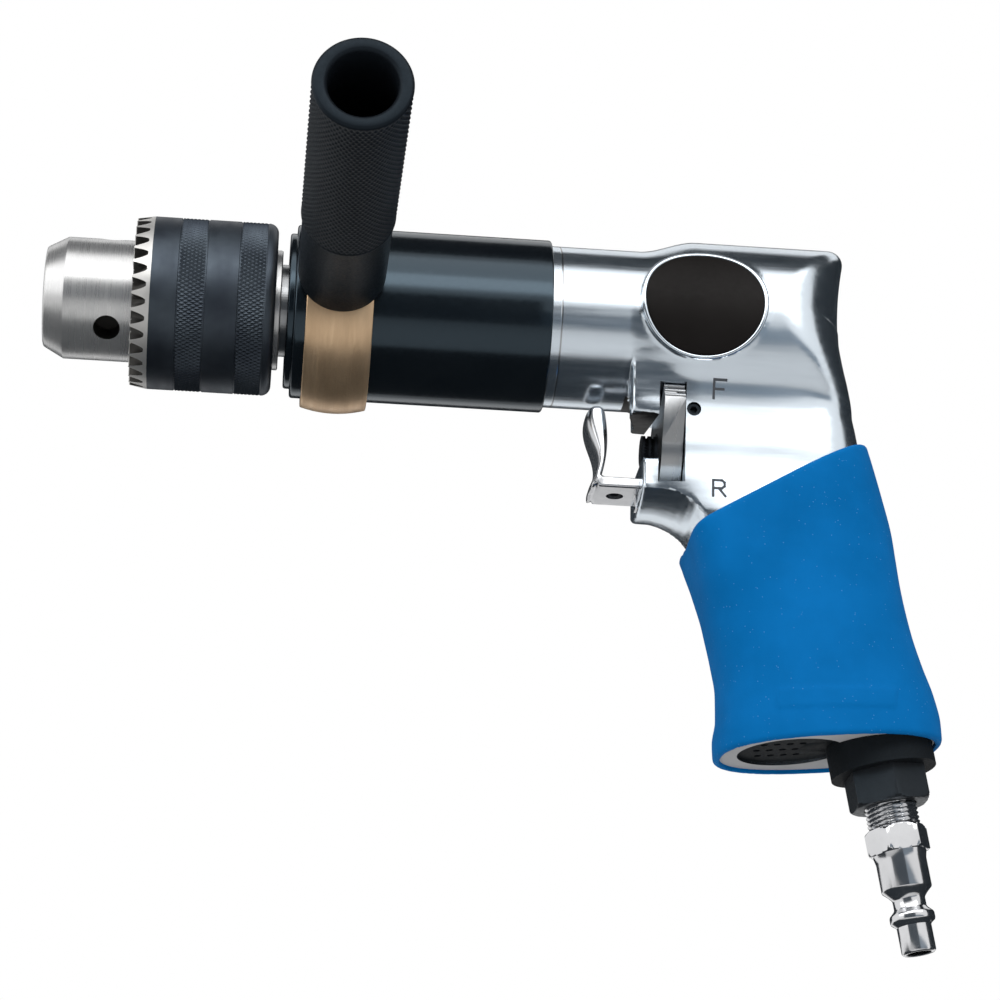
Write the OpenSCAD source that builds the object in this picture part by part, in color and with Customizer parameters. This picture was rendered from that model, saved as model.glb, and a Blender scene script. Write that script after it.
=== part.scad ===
// Pistol-grip reversible air drill with a keyed chuck, a side handle and an air plug.
// X runs along the spindle from the chuck's mouth to the rear, Z is up,
// and the side handle points along -Y.

/* [Chuck] */
// Radius of the chuck's mouth bore
mouth_r = 6.75; // [6:0.05:7]
// Radius of the chuck's front face
nose_tip_r = 14; // [12:0.1:15]
// Radius of the chuck's nose
nose_r = 16.2; // [16:0.1:17]
// Length of the nose's front cone
nose_cone_len = 5.6; // [3:0.1:8]
// Length of the nose in front of the sleeve
nose_len = 24.6; // [23:0.1:27]
// Radius of the toothed sleeve
sleeve_r = 23; // [22.5:0.1:24]
// Length of the toothed sleeve
sleeve_len = 36.2; // [35:0.1:39]
// Length of the sleeve's bevel-toothed rim
rim_len = 3.4; // [2.5:0.1:4.5]
// Number of key teeth on the rim
rim_teeth = 32; // [24:1:36]
// Radius of the key pilot holes
key_r = 3.5; // [2.5:0.1:4]
// Distance of the key pilot holes from the front face
key_x = 17.1; // [14:0.1:19]
// Radius of a jaw
jaw_r = 3.3; // [3:0.1:3.5]
// Length of a jaw
jaw_len = 34; // [32:0.5:35]
// Angle between a jaw and the spindle axis
jaw_tilt = 14; // [13:0.5:15]
// Travel of a jaw from fully open to closed
jaw_travel = 25; // [20:0.5:26]

/* [Gear housing] */
// Step between the barrel's radius and the gear housing's
gear_step = 1.85; // [1:0.05:2.5]
// Length of the gear housing
gear_len = 69.5; // [68:0.1:76]
// Wall of the gear housing around the ring gear
gear_wall = 3.15; // [2.6:0.05:3.5]
// Step between the gear bore and the bearing bore
bearing_step = 2.5; // [2:0.1:3.5]
// Width of a spindle bearing
bearing_w = 11; // [9:0.1:12]
// Radius of the spindle in its bearings
spindle_r = 7.5; // [7:0.1:8]
// Radius of the spindle's front shoulder
shoulder_r = 12.3; // [11:0.1:13.5]

/* [Gears] */
// Module of every gear for each millimetre of the gear bore's radius
gear_module_share = 0.035; // [0.033:0.0005:0.036]
// Teeth on each sun pinion
sun_teeth = 12; // [12:6:12]
// Teeth on each planet
planet_teeth = 18; // [18:6:18]
// Face width of the planets
planet_w = 6.5; // [5:0.1:7]
// Radius of a planet pin
pin_r = 1.6; // [1.2:0.1:2]
// Side play between meshing teeth
backlash = 0.14; // [0.1:0.01:0.2]

/* [Side handle] */
// Width of the clamp ring
ring_w = 17.5; // [14:0.1:20]
// Wall of the clamp ring at its crown
ring_wall = 3.55; // [2.9:0.05:4.5]
// Height of the ring's crown above its edges
ring_crown = 1.3; // [0.5:0.1:2]
// Distance of the handle's axis from the gear housing's front
handle_x = 13.6; // [12.5:0.1:16]
// Radius of the knurled part of the handle
handle_r = 11.9; // [10:0.1:13]
// Radius of the handle's smooth root
handle_root_r = 11.45; // [9.6:0.05:12]
// Distance from the spindle axis to the handle's end
handle_reach = 134.6; // [110:0.5:150]
// Length of the handle's smooth root
handle_root_len = 37; // [30:0.5:45]
// Bore radius of the handle tube
handle_bore_r = 8.3; // [6:0.1:9]
// Radius of the handle's stud
stud_r = 5; // [4:0.1:5.5]

/* [Motor housing] */
// Step between the barrel's radius and the neck's
neck_step = 3.3; // [2:0.1:3.8]
// Length of the neck
neck_len = 24.1; // [23:0.1:26]
// Radius of the housing's barrel
barrel_r = 25; // [24:0.1:26]
// Length of the flare from neck to barrel
flare_len = 15; // [10:0.5:18]
// Length of the housing along the spindle axis
housing_len = 80.8; // [80:0.1:84]
// Radius of the barrel's rear edge
rear_round = 4.5; // [2:0.5:6]
// Radius of the thumb saddle in the side view
saddle_r = 105; // [80:1:140]
// Depth of the thumb saddle
saddle_depth = 1.8; // [0.5:0.1:3]
// Wall of the neck around the motor
neck_wall = 2.7; // [2.4:0.1:3.2]
// Thickness of the wall behind the motor
back_wall = 9; // [8:0.1:10]
// Half length of the oval badge
badge_a = 16.8; // [14:0.1:17.5]
// Half height of the oval badge
badge_b = 15; // [12:0.1:16]

/* [Motor] */
// Wall of the motor cylinder
cylinder_wall = 3.1; // [2.8:0.05:3.4]
// Difference between the cylinder's bore radius and the rotor's radius
rotor_step = 1.5; // [1.3:0.05:1.8]
// Share of the rotor bearings' radius that the shaft takes
shaft_share = 0.385; // [0.36:0.005:0.42]
// Share of the motor bore's radius that the rotor's bearings take
rotor_bearing_share = 0.684; // [0.66:0.002:0.7]
// Width of a rotor bearing
rotor_bearing_w = 8; // [6:0.1:8.5]
// Thickness of a motor end plate
end_plate_w = 9.5; // [9:0.1:10]
// Number of vanes
vane_count = 5; // [3:1:6]
// Thickness of a vane
vane_t = 2; // [1.5:0.1:2.5]

/* [Grip] */
// Wall of the rubber grip
rubber_wall = 3; // [2.5:0.1:3.5]
// Angle of the grip's upper edge
grip_edge_tilt = 31; // [25:0.5:35]
// Angle of the grip's lower rim
rim_tilt = 5.7; // [3:0.1:8]
// Depth of the casting's end inside the grip's rim
rim_recess = 1.8; // [1:0.1:3]

/* [Controls] */
// Travel of the trigger
trigger_travel = 3.5; // [2:0.1:3.6]
// Half width of the trigger
trigger_half_w = 7.4; // [6:0.1:8]
// Thickness of the trigger's arm
arm_t = 2.8; // [2:0.1:3]
// Radius of the reversing drum
drum_r = 13.2; // [12.5:0.1:13.4]
// Width of the reversing drum
drum_w = 5.5; // [4.5:0.1:5.8]
// Radius of the reversing spool
spool_r = 5; // [4:0.1:5.4]
// Angle of the lever's thumb tab above the horizontal
tab_angle = 33; // [28:1:33]
// Radius of the throttle stem
stem_r = 1.4; // [1:0.05:1.45]

/* [Air inlet] */
// Angle between the air inlet and the vertical
inlet_tilt = 10.3; // [8:0.1:12]
// Radius of the exhaust cap's collar
collar_r = 13.7; // [12.5:0.1:14]
// Width across the flats of the inlet bushing
bushing_flats = 19; // [18:0.1:20]
// Radius of the bushing's neck
bushing_r = 8.8; // [8.2:0.1:9]
// Radius of the plug's tapered thread
thread_r = 6.8; // [6.2:0.05:7]
// Width across the flats of the plug's hexagon
plug_flats = 14.3; // [14:0.1:15]
// Radius of the plug's nose
plug_nose_r = 4.45; // [4:0.05:4.8]
// Radius of the plug's air passage
plug_bore_r = 3.2; // [2.5:0.1:3.4]

/* [Hidden] */
$fn = 96;

// Radial clearance of a running fit
run = 0.05;
// Radial clearance of a fixed fit
seat = 0.02;
// Free gap between pieces that pass each other
gap = 0.3;
// Overlap of a cutting tool past the face it cuts
past = 1;

// Radii that follow the barrel
gear_r = barrel_r - gear_step;
gear_bore_r = gear_r - gear_wall;
bearing_r = gear_bore_r - bearing_step;
gear_module = gear_bore_r * gear_module_share;
ring_crown_r = gear_r + ring_wall;
neck_r = barrel_r - neck_step;
motor_bore_r = neck_r - neck_wall;
motor_cyl_bore = motor_bore_r - cylinder_wall;
rotor_r = motor_cyl_bore - rotor_step;
rotor_bearing_r = motor_bore_r * rotor_bearing_share;
shaft_r = rotor_bearing_r * shaft_share;

// Stations along the spindle axis
sleeve_x = nose_len;
sleeve_end = sleeve_x + sleeve_len;
flange_show = 1.5;
chuck_end = sleeve_end + flange_show;
neck_show = 1.7;
gear_x = chuck_end + neck_show;
seam_x = gear_x + gear_len;

// Chuck inside
body_r = nose_r - 0.6;
flange_r = nose_r - 0.2;
nut_x = sleeve_x + rim_len + 1;
nut_w = 6.2;
jaw_axis_r = 1.16;
jaw_closed_x = -1.5;
jaw_open_x = jaw_closed_x + jaw_travel * cos(jaw_tilt);
jaw_grip_r = 0.75 + jaw_travel * sin(jaw_tilt);
function jaw_line(x) = jaw_axis_r + x * tan(jaw_tilt);
nut_bore_r = jaw_line(nut_x + nut_w) + jaw_r / cos(jaw_tilt) + gap;
sleeve_bore_r = jaw_line(jaw_open_x + jaw_len * cos(jaw_tilt)) + jaw_r / cos(jaw_tilt) + gap;
nut_r = sleeve_bore_r - 1;
jaw_bore_end = sleeve_end - 3;
key_angle = 50;
jaw_angle_0 = key_angle + 60;
mouth_depth = 33;
spindle_thread_r = 6.3;
spindle_thread_len = 16;
chuck_screw_r = 3;
chuck_screw_head_r = 5;
chuck_screw_head_len = 5;
screw_floor = mouth_depth + chuck_screw_head_len;

// Gear train from the front to the rear
front_wall = 6;
carrier_w = 3.5;
side_play = 0.5;
stage_gap = 0.8;
ring_over = 1;
spigot_len = 4.8;
spigot_gap = 1.4;
stage_len = 2 * (carrier_w + planet_w) + 3 * side_play + stage_gap + ring_over;
spacer_len = gear_len - front_wall - 2 * bearing_w - stage_len - spigot_gap - spigot_len;
front_bearing_x = gear_x + front_wall;
rear_bearing_x = front_bearing_x + bearing_w + spacer_len;
carrier_x = rear_bearing_x + bearing_w + side_play;
output_planet_x = carrier_x + carrier_w + side_play;
first_carrier_x = output_planet_x + planet_w + stage_gap;
first_planet_x = first_carrier_x + carrier_w + side_play;
ring_gear_x = output_planet_x - side_play;
ring_gear_end = first_planet_x + planet_w + ring_over;
ring_teeth = sun_teeth + 2 * planet_teeth;
planet_orbit = gear_module * (sun_teeth + planet_teeth) / 2;
carrier_r = planet_orbit + pin_r + 2.6;
planet_count = 3;
addendum = 0.85 * gear_module;
dedendum = 1.2 * gear_module;
pressure_angle = 20;

// Motor along the housing, measured from the seam
front_plate_u = 6.5;
motor_cyl_u = front_plate_u + end_plate_w;
motor_bore_end = housing_len - back_wall;
rear_plate_u = motor_bore_end - gap - end_plate_w;
motor_cyl_len = rear_plate_u - motor_cyl_u;
eccentricity = motor_cyl_bore - rotor_r - gap;
vane_depth = 0.52 * rotor_r;

// Datum of the handle's heights, at a set distance above the barrel's underside
level_datum = 25;
datum_z = level_datum - barrel_r;

// Handle outline: height, front, rear and half width of each level, measured from the seam and the datum
grip_levels = [
    [-26, 36.5, 85, 19], [-36, 36.5, 88, 19], [-46, 36.5, 90.7, 19], [-56, 37.5, 93.1, 19],
    [-63, 39.1, 94.1, 19], [-71, 41, 95.3, 18.8], [-83, 43.5, 97.9, 18.8], [-92, 45.5, 100.7, 19],
    [-100, 46.8, 103.6, 19.4], [-107, 46.9, 105.2, 19.8], [-113, 46.1, 105.5, 20], [-120, 46.5, 104.5, 19.6]];
casting_top_levels = [
    [-4, 20.5, 77, 23.4, 6], [-9, 20.5, 78.4, 23, 6], [-12.5, 20.5, 79.4, 22.1, 6], [-16, 20.5, 80.5, 20.8, 6],
    [-21, 20.5, 81.6, 18.9, 6], [-26, 20.5, 82.7, 17.5, 6], [-31, 20.3, 83.8, 16.6, 5], [-36, 20.3, 84.9, 16.2, 4],
    [-41, 20.3, 86.2, 16, 4], [-46, 21, 87.5, 16, 4], [-51, 24.7, 88.7, 16, 2.3], [-55, 27.5, 89.7, 16, 2.3],
    [-57, 32.1, 90.1, 16, 2.3], [-59.5, 36.5, 90.5, 16, 2.3]];
grip_edge_u = 59.3;
grip_edge_z = -47;
rim_u = 71.5;
rim_z = -115.5;

// Trigger window, reversing slot and throttle, measured from the seam
boss_front_u = 21.8;
boss_bottom_z = -26.5;
boss_slant = 11.3;
lip_front_u = 25.2;
lip_top_z = -41;
lip_bottom_z = -47.4;
slot_u = 29.1;
slot_w = drum_w + 1.5;
drum_u = slot_u + slot_w - gap - drum_w;
spool_z = -34.3;
spool_front_u = 26.3;
spool_end_u = 55.5;
slot_half_h = drum_r + 0.4;
trigger_top_z = -24.6;
trigger_crest_z = -28;
trigger_swing = 1.55;
trigger_pitch = 24;
trigger_mid_u = 12.5;
trigger_back_u = 18.2;
trigger_back_z = -33;
trigger_back_curve = 0.018;
trigger_screw_u = 19.5;
trigger_screw_r = 2.3;
arm_end_u = 26.1;
heel_len = 1.2;
heel_half_w = 2;
stem_z = -50.2;
heel_bottom_z = -52;
seat_u = 42;
seat_len = 8.2;
chamber_r = 5;
valve_t = 2.5;
chamber_end_u = 70;
spring_turns = 7;
spring_wire_r = 0.5;
tab_reach = 6.8;
tab_w = 5.6;
tab_heel_angle = -8;
set_screw_r = 1.7;
set_screw_u = 38.2;
set_screw_z = -27.7;
set_screw_outer_y = 15.6;
set_screw_inner_y = 7.2;

// Air inlet, measured along its own axis from the grip's rim downwards
inlet_u = 89.9;
inlet_z = -115;
collar_top = -4;
collar_end = 8;
bushing_top = -20;
bushing_hex_len = 5.5;
bushing_end = collar_end + bushing_hex_len;
bushing_thread_len = 10;
plug_thread_show = 6;
plug_hex_len = 6.5;
plug_top = bushing_end - 8.5;
plug_hex_top = bushing_end + plug_thread_show;
plug_hex_end = plug_hex_top + plug_hex_len;
exhaust_r = 3.5;
exhaust_y = 9.5;
cap_front = -19;
cap_rear = 9;
cap_half_w = 12.8;
cap_t = 2.6;
felt_t = 5.6;
cap_hole_r = 0.95;

// Badge oval and its raised pad
badge_u = 40.1;
badge_z = -1.7;
badge_t = 0.6;
badge_rim = 1.5;

// Basic shapes

// Solid turned about the spindle axis from points of radius and X
module turned(points) {
    rotate([0, 90, 0])
        rotate_extrude()
            polygon(points);
}

// Cylinder along X from x0 to x1
module rod_x(r, x0, x1) {
    translate([x0, 0, 0])
        rotate([0, 90, 0])
            cylinder(r = r, h = x1 - x0);
}

// Tube along X from x0 to x1
module tube_x(r_out, r_in, x0, x1) {
    difference() {
        rod_x(r_out, x0, x1);
        rod_x(r_in, x0 - past, x1 + past);
    }
}

// Moves a child to the frame that starts at the seam of the motor housing
module at_seam() {
    translate([seam_x, 0, 0])
        children();
}

// Moves a child to the datum of the handle's heights at the seam
module at_datum() {
    translate([seam_x, 0, datum_z])
        children();
}

// Moves a child to the inlet's own axis, with Z pointing out of the grip
module at_inlet() {
    at_datum()
        translate([inlet_u, 0, inlet_z])
            rotate([0, 180 - inlet_tilt, 0])
                children();
}

// Moves a child to the plane of the grip's lower rim
module at_rim() {
    at_datum()
        translate([rim_u, 0, rim_z])
            rotate([0, -rim_tilt, 0])
                children();
}

// Hexagonal prism along Z by its width across the flats
module hex_prism(flats, z0, z1) {
    translate([0, 0, z0])
        cylinder(r = flats / 2 / cos(30), h = z1 - z0, $fn = 6);
}

// Prism with an oval outline, extruded along Z
module oval_prism(a, b, h) {
    steps = 48;
    linear_extrude(h)
        polygon([for (i = [0:steps - 1]) [a * cos(360 * i / steps), b * sin(360 * i / steps)]]);
}

// Loft through horizontal rounded sections, each given by height, front, rear and half width; a fifth
// value squares the section's front half
function signed_pow(v, e) = sign(v) * pow(abs(v), e);
function loft_ring(s, sides, power) = [for (i = [0:sides - 1])
    let (c = cos(360 * i / sides), p = c < 0 && len(s) > 4 ? s[4] : power)
        [(s[1] + s[2]) / 2 + (s[2] - s[1]) / 2 * signed_pow(c, 2 / p),
         s[3] * signed_pow(sin(360 * i / sides), 2 / p), s[0]]];
module loft(levels, sides, power) {
    count = len(levels);
    points = [for (s = levels) each loft_ring(s, sides, power)];
    walls = [for (k = [0:count - 2], i = [0:sides - 1])
        let (j = (i + 1) % sides, a = k * sides, b = a + sides)
            each [[a + i, a + j, b + i], [a + j, b + j, b + i]]];
    top = [for (i = [sides - 1:-1:0]) i];
    bottom = [for (i = [0:sides - 1]) (count - 1) * sides + i];
    polyhedron(points, concat(walls, [top, bottom]));
}

// Levels moved inwards by a wall on every side
function inset(levels, wall) = [for (s = levels)
    concat([s[0], s[1] + wall, s[2] - wall, s[3] - wall], len(s) > 4 ? [s[4]] : [])];

// Involute gear outline with a tooth centred on the X axis
function roll(r, base_r) = r <= base_r ? 0 : sqrt(pow(r / base_r, 2) - 1) * 180 / PI - acos(base_r / r);
function tooth_half(r, teeth, play) =
    let (pitch_r = gear_module * teeth / 2, base_r = pitch_r * cos(pressure_angle))
        90 / teeth - play / pitch_r * 90 / PI + roll(pitch_r, base_r) - roll(r, base_r);
function gear_outline(teeth, tip_r, root_r, play) =
    let (base_r = gear_module * teeth / 2 * cos(pressure_angle), low_r = max(base_r, root_r),
         first = base_r > root_r ? 0 : 1)
        [for (t = [0:teeth - 1], side = [-1, 1], k = [first:3])
            let (n = side < 0 ? k : first + 3 - k,
                 r = n == 0 ? root_r : low_r + (tip_r - low_r) * (n - 1) / 2,
                 a = 360 * t / teeth + side * tooth_half(max(r, low_r), teeth, play))
                r * [cos(a), sin(a)]];

// Spur gear along X
module spur_gear(teeth, x0, width, turn) {
    pitch_r = gear_module * teeth / 2;
    translate([x0, 0, 0])
        rotate([0, 90, 0])
            rotate([0, 0, turn])
                linear_extrude(width)
                    polygon(gear_outline(teeth, pitch_r + addendum, pitch_r - dedendum, backlash));
}

// Places a planet's frame on its orbit about the spindle axis
module on_orbit(index) {
    angle = 360 / planet_count * index;
    translate([0, planet_orbit * sin(angle), -planet_orbit * cos(angle)])
        children();
}

// Chuck

// Frame of one jaw: Z along the jaw to the rear and X pointing away from the spindle axis
module at_jaw(index, x) {
    rotate([jaw_angle_0 + 120 * index, 0, 0])
        translate([x, -jaw_line(x), 0])
            rotate([0, 0, 180 - jaw_tilt])
                rotate([0, -90, 0])
                    children();
}

module chuck_body() {
    color("silver")
        difference() {
            turned([[0, 0], [nose_tip_r, 0], [nose_r, nose_cone_len], [nose_r, nut_x - gap],
                    [nut_bore_r - gap, nut_x - gap], [nut_bore_r - gap, nut_x + nut_w + gap],
                    [body_r, nut_x + nut_w + gap], [body_r, jaw_bore_end + 0.5],
                    [flange_r, jaw_bore_end + 0.5], [flange_r, chuck_end], [0, chuck_end]]);
            rod_x(mouth_r, -past, mouth_depth);
            rod_x(spindle_thread_r + seat, chuck_end - spindle_thread_len, chuck_end + past);
            rod_x(chuck_screw_head_r + gap, mouth_depth - past, screw_floor);
            rod_x(chuck_screw_r + gap, mouth_depth, chuck_end);
            for (i = [0:2]) {
                at_jaw(i, jaw_closed_x - 3)
                    cylinder(r = jaw_r + run, h = (jaw_bore_end - jaw_closed_x + 3) / cos(jaw_tilt));
                rotate([key_angle + 120 * i, 0, 0])
                    translate([key_x, -mouth_r - 3.5, 0])
                        rotate([90, 0, 0])
                            cylinder(r = key_r, h = nose_r);
            }
        }
}

// One bevel tooth gap, cut from the sleeve's coned front rim
module tooth_gap() {
    pitch = 2 * PI * sleeve_r / rim_teeth;
    depth = rim_len * 0.75;
    translate([sleeve_x, 0, 0])
        rotate([90, 0, 0])
            linear_extrude(sleeve_r + past)
                polygon([[-past, -pitch * 0.36], [depth + 1.2, -pitch * 0.12], [depth + 1.2, pitch * 0.12],
                         [-past, pitch * 0.36]]);
}

module chuck_sleeve() {
    band_1 = sleeve_x + 10.9;
    band_2 = sleeve_x + 26.7;
    band_w = 6.5;
    groove = 0.35;
    round = 2.6;
    color("dimgray")
        difference() {
            turned(concat(
                [[nose_r + run, sleeve_x], [nose_r + 1.4, sleeve_x], [sleeve_r - 0.3, sleeve_x + rim_len - 1],
                 [sleeve_r, sleeve_x + rim_len - 0.6], [sleeve_r, band_1 - groove],
                 [sleeve_r - groove, band_1],
                 [sleeve_r, band_1 + groove], [sleeve_r, band_1 + band_w - groove],
                 [sleeve_r - groove, band_1 + band_w], [sleeve_r, band_1 + band_w + groove],
                 [sleeve_r, band_2 - groove], [sleeve_r - groove, band_2], [sleeve_r, band_2 + groove]],
                [for (a = [0:15:90]) [sleeve_r - round * (1 - cos(a)), sleeve_end - round * (1 - sin(a))]],
                [[flange_r + run, sleeve_end], [flange_r + run, jaw_bore_end + 1],
                 [sleeve_bore_r, jaw_bore_end + 1], [sleeve_bore_r, nut_x + nut_w + gap],
                 [nut_r + seat, nut_x + nut_w + gap], [nut_r + seat, nut_x - seat],
                 [nose_r + run, nut_x - seat]]));
            for (i = [0:rim_teeth - 1])
                rotate([360 / rim_teeth * i, 0, 0])
                    tooth_gap();
        }
}

module chuck_nut() {
    color("slategray")
        tube_x(nut_r, nut_bore_r, nut_x, nut_x + nut_w);
}

module chuck_jaw(index) {
    lead = jaw_axis_r + jaw_open_x * tan(jaw_tilt) - jaw_grip_r;
    apex_r = jaw_travel * sin(jaw_tilt) + gap;
    color("lightsteelblue")
        difference() {
            at_jaw(index, jaw_open_x)
                translate([0, 0, -jaw_r])
                    cylinder(r = jaw_r, h = jaw_len + jaw_r);
            rotate([jaw_angle_0 + 120 * index, 0, 0]) {
                translate([jaw_open_x - 3 * jaw_r, -jaw_grip_r, -2 * jaw_r])
                    cube([jaw_len, 4 * jaw_r, 4 * jaw_r]);
                translate([jaw_open_x - 4 * jaw_r, -jaw_grip_r - 4 * jaw_r - lead, -2 * jaw_r])
                    cube([4 * jaw_r, 6 * jaw_r, 4 * jaw_r]);
                for (side = [-1, 1])
                    translate([jaw_open_x - 3 * jaw_r, -apex_r, 0])
                        rotate([-60 * side, 0, 0])
                            translate([0, -4 * jaw_r, side > 0 ? 0 : -4 * jaw_r])
                                cube([2 * jaw_len, 8 * jaw_r, 4 * jaw_r]);
            }
        }
}

module chuck_screw() {
    socket_flats = 5;
    color("dimgray")
        difference() {
            union() {
                rod_x(chuck_screw_head_r, mouth_depth, screw_floor);
                rod_x(chuck_screw_r, screw_floor, chuck_end);
            }
            translate([mouth_depth - past, 0, 0])
                rotate([0, 90, 0])
                    hex_prism(socket_flats, 0, past + 3);
        }
}

// Gear housing and gear train

module gear_housing() {
    lip = 2.4;
    lip_len = 1.8;
    edge = 0.8;
    color("black")
        turned([[shoulder_r + gap, gear_x], [gear_r - lip - edge, gear_x], [gear_r - lip, gear_x + edge],
                [gear_r - lip, gear_x + lip_len], [gear_r - edge, gear_x + lip_len],
                [gear_r, gear_x + lip_len + edge], [gear_r, seam_x - edge], [gear_r - edge, seam_x],
                [gear_bore_r, seam_x], [gear_bore_r, carrier_x], [bearing_r, carrier_x],
                [bearing_r, front_bearing_x], [shoulder_r + gap, front_bearing_x]]);
}

module spindle_bearing(x) {
    groove_r = (bearing_r + spindle_r) / 2;
    groove_w = 3;
    color("gainsboro")
        difference() {
            tube_x(bearing_r - seat, spindle_r + run, x, x + bearing_w);
            tube_x(groove_r + groove_w / 2, groove_r - groove_w / 2, x - past, x + 1);
            tube_x(groove_r + groove_w / 2, groove_r - groove_w / 2, x + bearing_w - 1, x + bearing_w + past);
        }
}

module spindle_front_bearing() {
    spindle_bearing(front_bearing_x);
}

module spindle_rear_bearing() {
    spindle_bearing(rear_bearing_x);
}

module bearing_spacer() {
    wall = 2.5;
    color("slategray")
        tube_x(bearing_r - seat, bearing_r - wall, front_bearing_x + bearing_w, rear_bearing_x);
}

module spindle() {
    color("silver")
        difference() {
            turned([[0, chuck_end - spindle_thread_len], [spindle_thread_r, chuck_end - spindle_thread_len],
                    [spindle_thread_r, chuck_end], [spindle_r, chuck_end], [spindle_r, carrier_x],
                    [carrier_r, carrier_x], [carrier_r, carrier_x + carrier_w], [0, carrier_x + carrier_w]]);
            rod_x(chuck_screw_r + seat, chuck_end - spindle_thread_len - past, chuck_end + 2);
            pin_holes(carrier_x);
        }
}

module spindle_collar() {
    color("slategray")
        tube_x(shoulder_r, spindle_r + seat, chuck_end, front_bearing_x - run);
}

// Holes for the planet pins in a carrier plate
module pin_holes(x) {
    for (i = [0:planet_count - 1])
        on_orbit(i)
            rod_x(pin_r, x - past, x + carrier_w + past);
}

// Set of planet pins pressed into a carrier plate
module planet_pins(x, planet_x) {
    color("silver")
        for (i = [0:planet_count - 1])
            on_orbit(i)
                rod_x(pin_r - seat, x, planet_x + planet_w + 0.3);
}

module output_pins() {
    planet_pins(carrier_x, output_planet_x);
}

module first_pins() {
    planet_pins(first_carrier_x, first_planet_x);
}

// Planet gear on its orbit, turned half a tooth so that it meshes with the sun and the ring
module planet(index, x) {
    angle = 360 / planet_count * index;
    color("goldenrod")
        on_orbit(index)
            difference() {
                spur_gear(planet_teeth, x, planet_w, angle + 180 / planet_teeth);
                rod_x(pin_r + run, x - past, x + planet_w + past);
            }
}

module first_carrier() {
    sun_x = output_planet_x;
    color("slategray") {
        difference() {
            rod_x(carrier_r, first_carrier_x, first_carrier_x + carrier_w);
            pin_holes(first_carrier_x);
        }
        spur_gear(sun_teeth, sun_x, first_carrier_x - sun_x, 0);
    }
}

module ring_gear() {
    pitch_r = gear_module * ring_teeth / 2;
    tooth_space = gear_outline(ring_teeth, pitch_r + dedendum, pitch_r - addendum, -backlash);
    color("darkgray")
        difference() {
            rod_x(gear_bore_r - seat, ring_gear_x, ring_gear_end);
            translate([ring_gear_x - past, 0, 0])
                rotate([0, 90, 0])
                    rotate([0, 0, 180 / ring_teeth])
                        linear_extrude(ring_gear_end - ring_gear_x + 2 * past)
                            polygon(tooth_space);
        }
}

// Motor

module rotor() {
    slot_floor = rotor_r - vane_depth - gap;
    core_u = motor_cyl_u + gap;
    core_len = motor_cyl_len - 2 * gap;
    core_x = seam_x + core_u;
    color("lightsteelblue")
        difference() {
            union() {
                spur_gear(sun_teeth, first_planet_x, seam_x - first_planet_x, 0);
                rod_x(shaft_r, seam_x - 0.5, core_x);
                rod_x(rotor_r, core_x, core_x + core_len);
                rod_x(shaft_r, core_x + core_len, seam_x + rear_plate_u + end_plate_w - 1);
            }
            for (i = [0:vane_count - 1])
                rotate([360 / vane_count * i, 0, 0])
                    translate([core_x - gap, -vane_t / 2 - run, slot_floor])
                        cube([core_len + 2 * gap, vane_t + 2 * run, rotor_r]);
        }
}

module rotor_vanes() {
    vane_len = motor_cyl_len - 2 * gap - 0.2;
    color("sienna")
        for (i = [0:vane_count - 1])
            rotate([360 / vane_count * i, 0, 0])
                translate([seam_x + motor_cyl_u + gap + 0.1, -vane_t / 2, rotor_r - vane_depth - 0.2])
                    cube([vane_len, vane_t, vane_depth]);
}

module motor_cylinder() {
    port_r = 2;
    color("darkgray")
        difference() {
            at_seam()
                rod_x(motor_bore_r - seat, motor_cyl_u, rear_plate_u);
            at_seam()
                translate([0, 0, eccentricity])
                    rod_x(motor_cyl_bore, motor_cyl_u - past, rear_plate_u + past);
            for (u = [spool_end_u - 11.5, spool_end_u - 5.5])
                at_seam()
                    translate([u, 0, -motor_bore_r - past])
                        cylinder(r = port_r, h = motor_bore_r);
        }
}

// Sleeve between the ring gear and the motor that holds the motor against the back wall
module motor_clamp_sleeve() {
    wall = 2;
    color("darkgray")
        tube_x(motor_bore_r - seat, motor_bore_r - wall, ring_gear_end, seam_x + front_plate_u);
}

// Motor end plate with a pocket for the rotor's bearing
module end_plate(u, pocket_u) {
    color("slategray")
        at_seam()
            difference() {
                rod_x(motor_bore_r - seat, u, u + end_plate_w);
                rod_x(shaft_r + gap, u - past, u + end_plate_w + past);
                rod_x(rotor_bearing_r, pocket_u, pocket_u + rotor_bearing_w + past);
            }
}

module front_end_plate() {
    end_plate(front_plate_u, front_plate_u - past);
}

module rear_end_plate() {
    end_plate(rear_plate_u, rear_plate_u + end_plate_w - rotor_bearing_w);
}

module rotor_bearing(u) {
    groove_r = (rotor_bearing_r + shaft_r) / 2;
    groove_w = 2.4;
    color("gainsboro")
        at_seam()
            difference() {
                tube_x(rotor_bearing_r - seat, shaft_r + run, u, u + rotor_bearing_w);
                tube_x(groove_r + groove_w / 2, groove_r - groove_w / 2, u - past, u + 1);
            }
}

module rotor_front_bearing() {
    rotor_bearing(front_plate_u);
}

module rotor_rear_bearing() {
    rotor_bearing(rear_plate_u + end_plate_w - rotor_bearing_w);
}

// Motor housing

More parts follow.
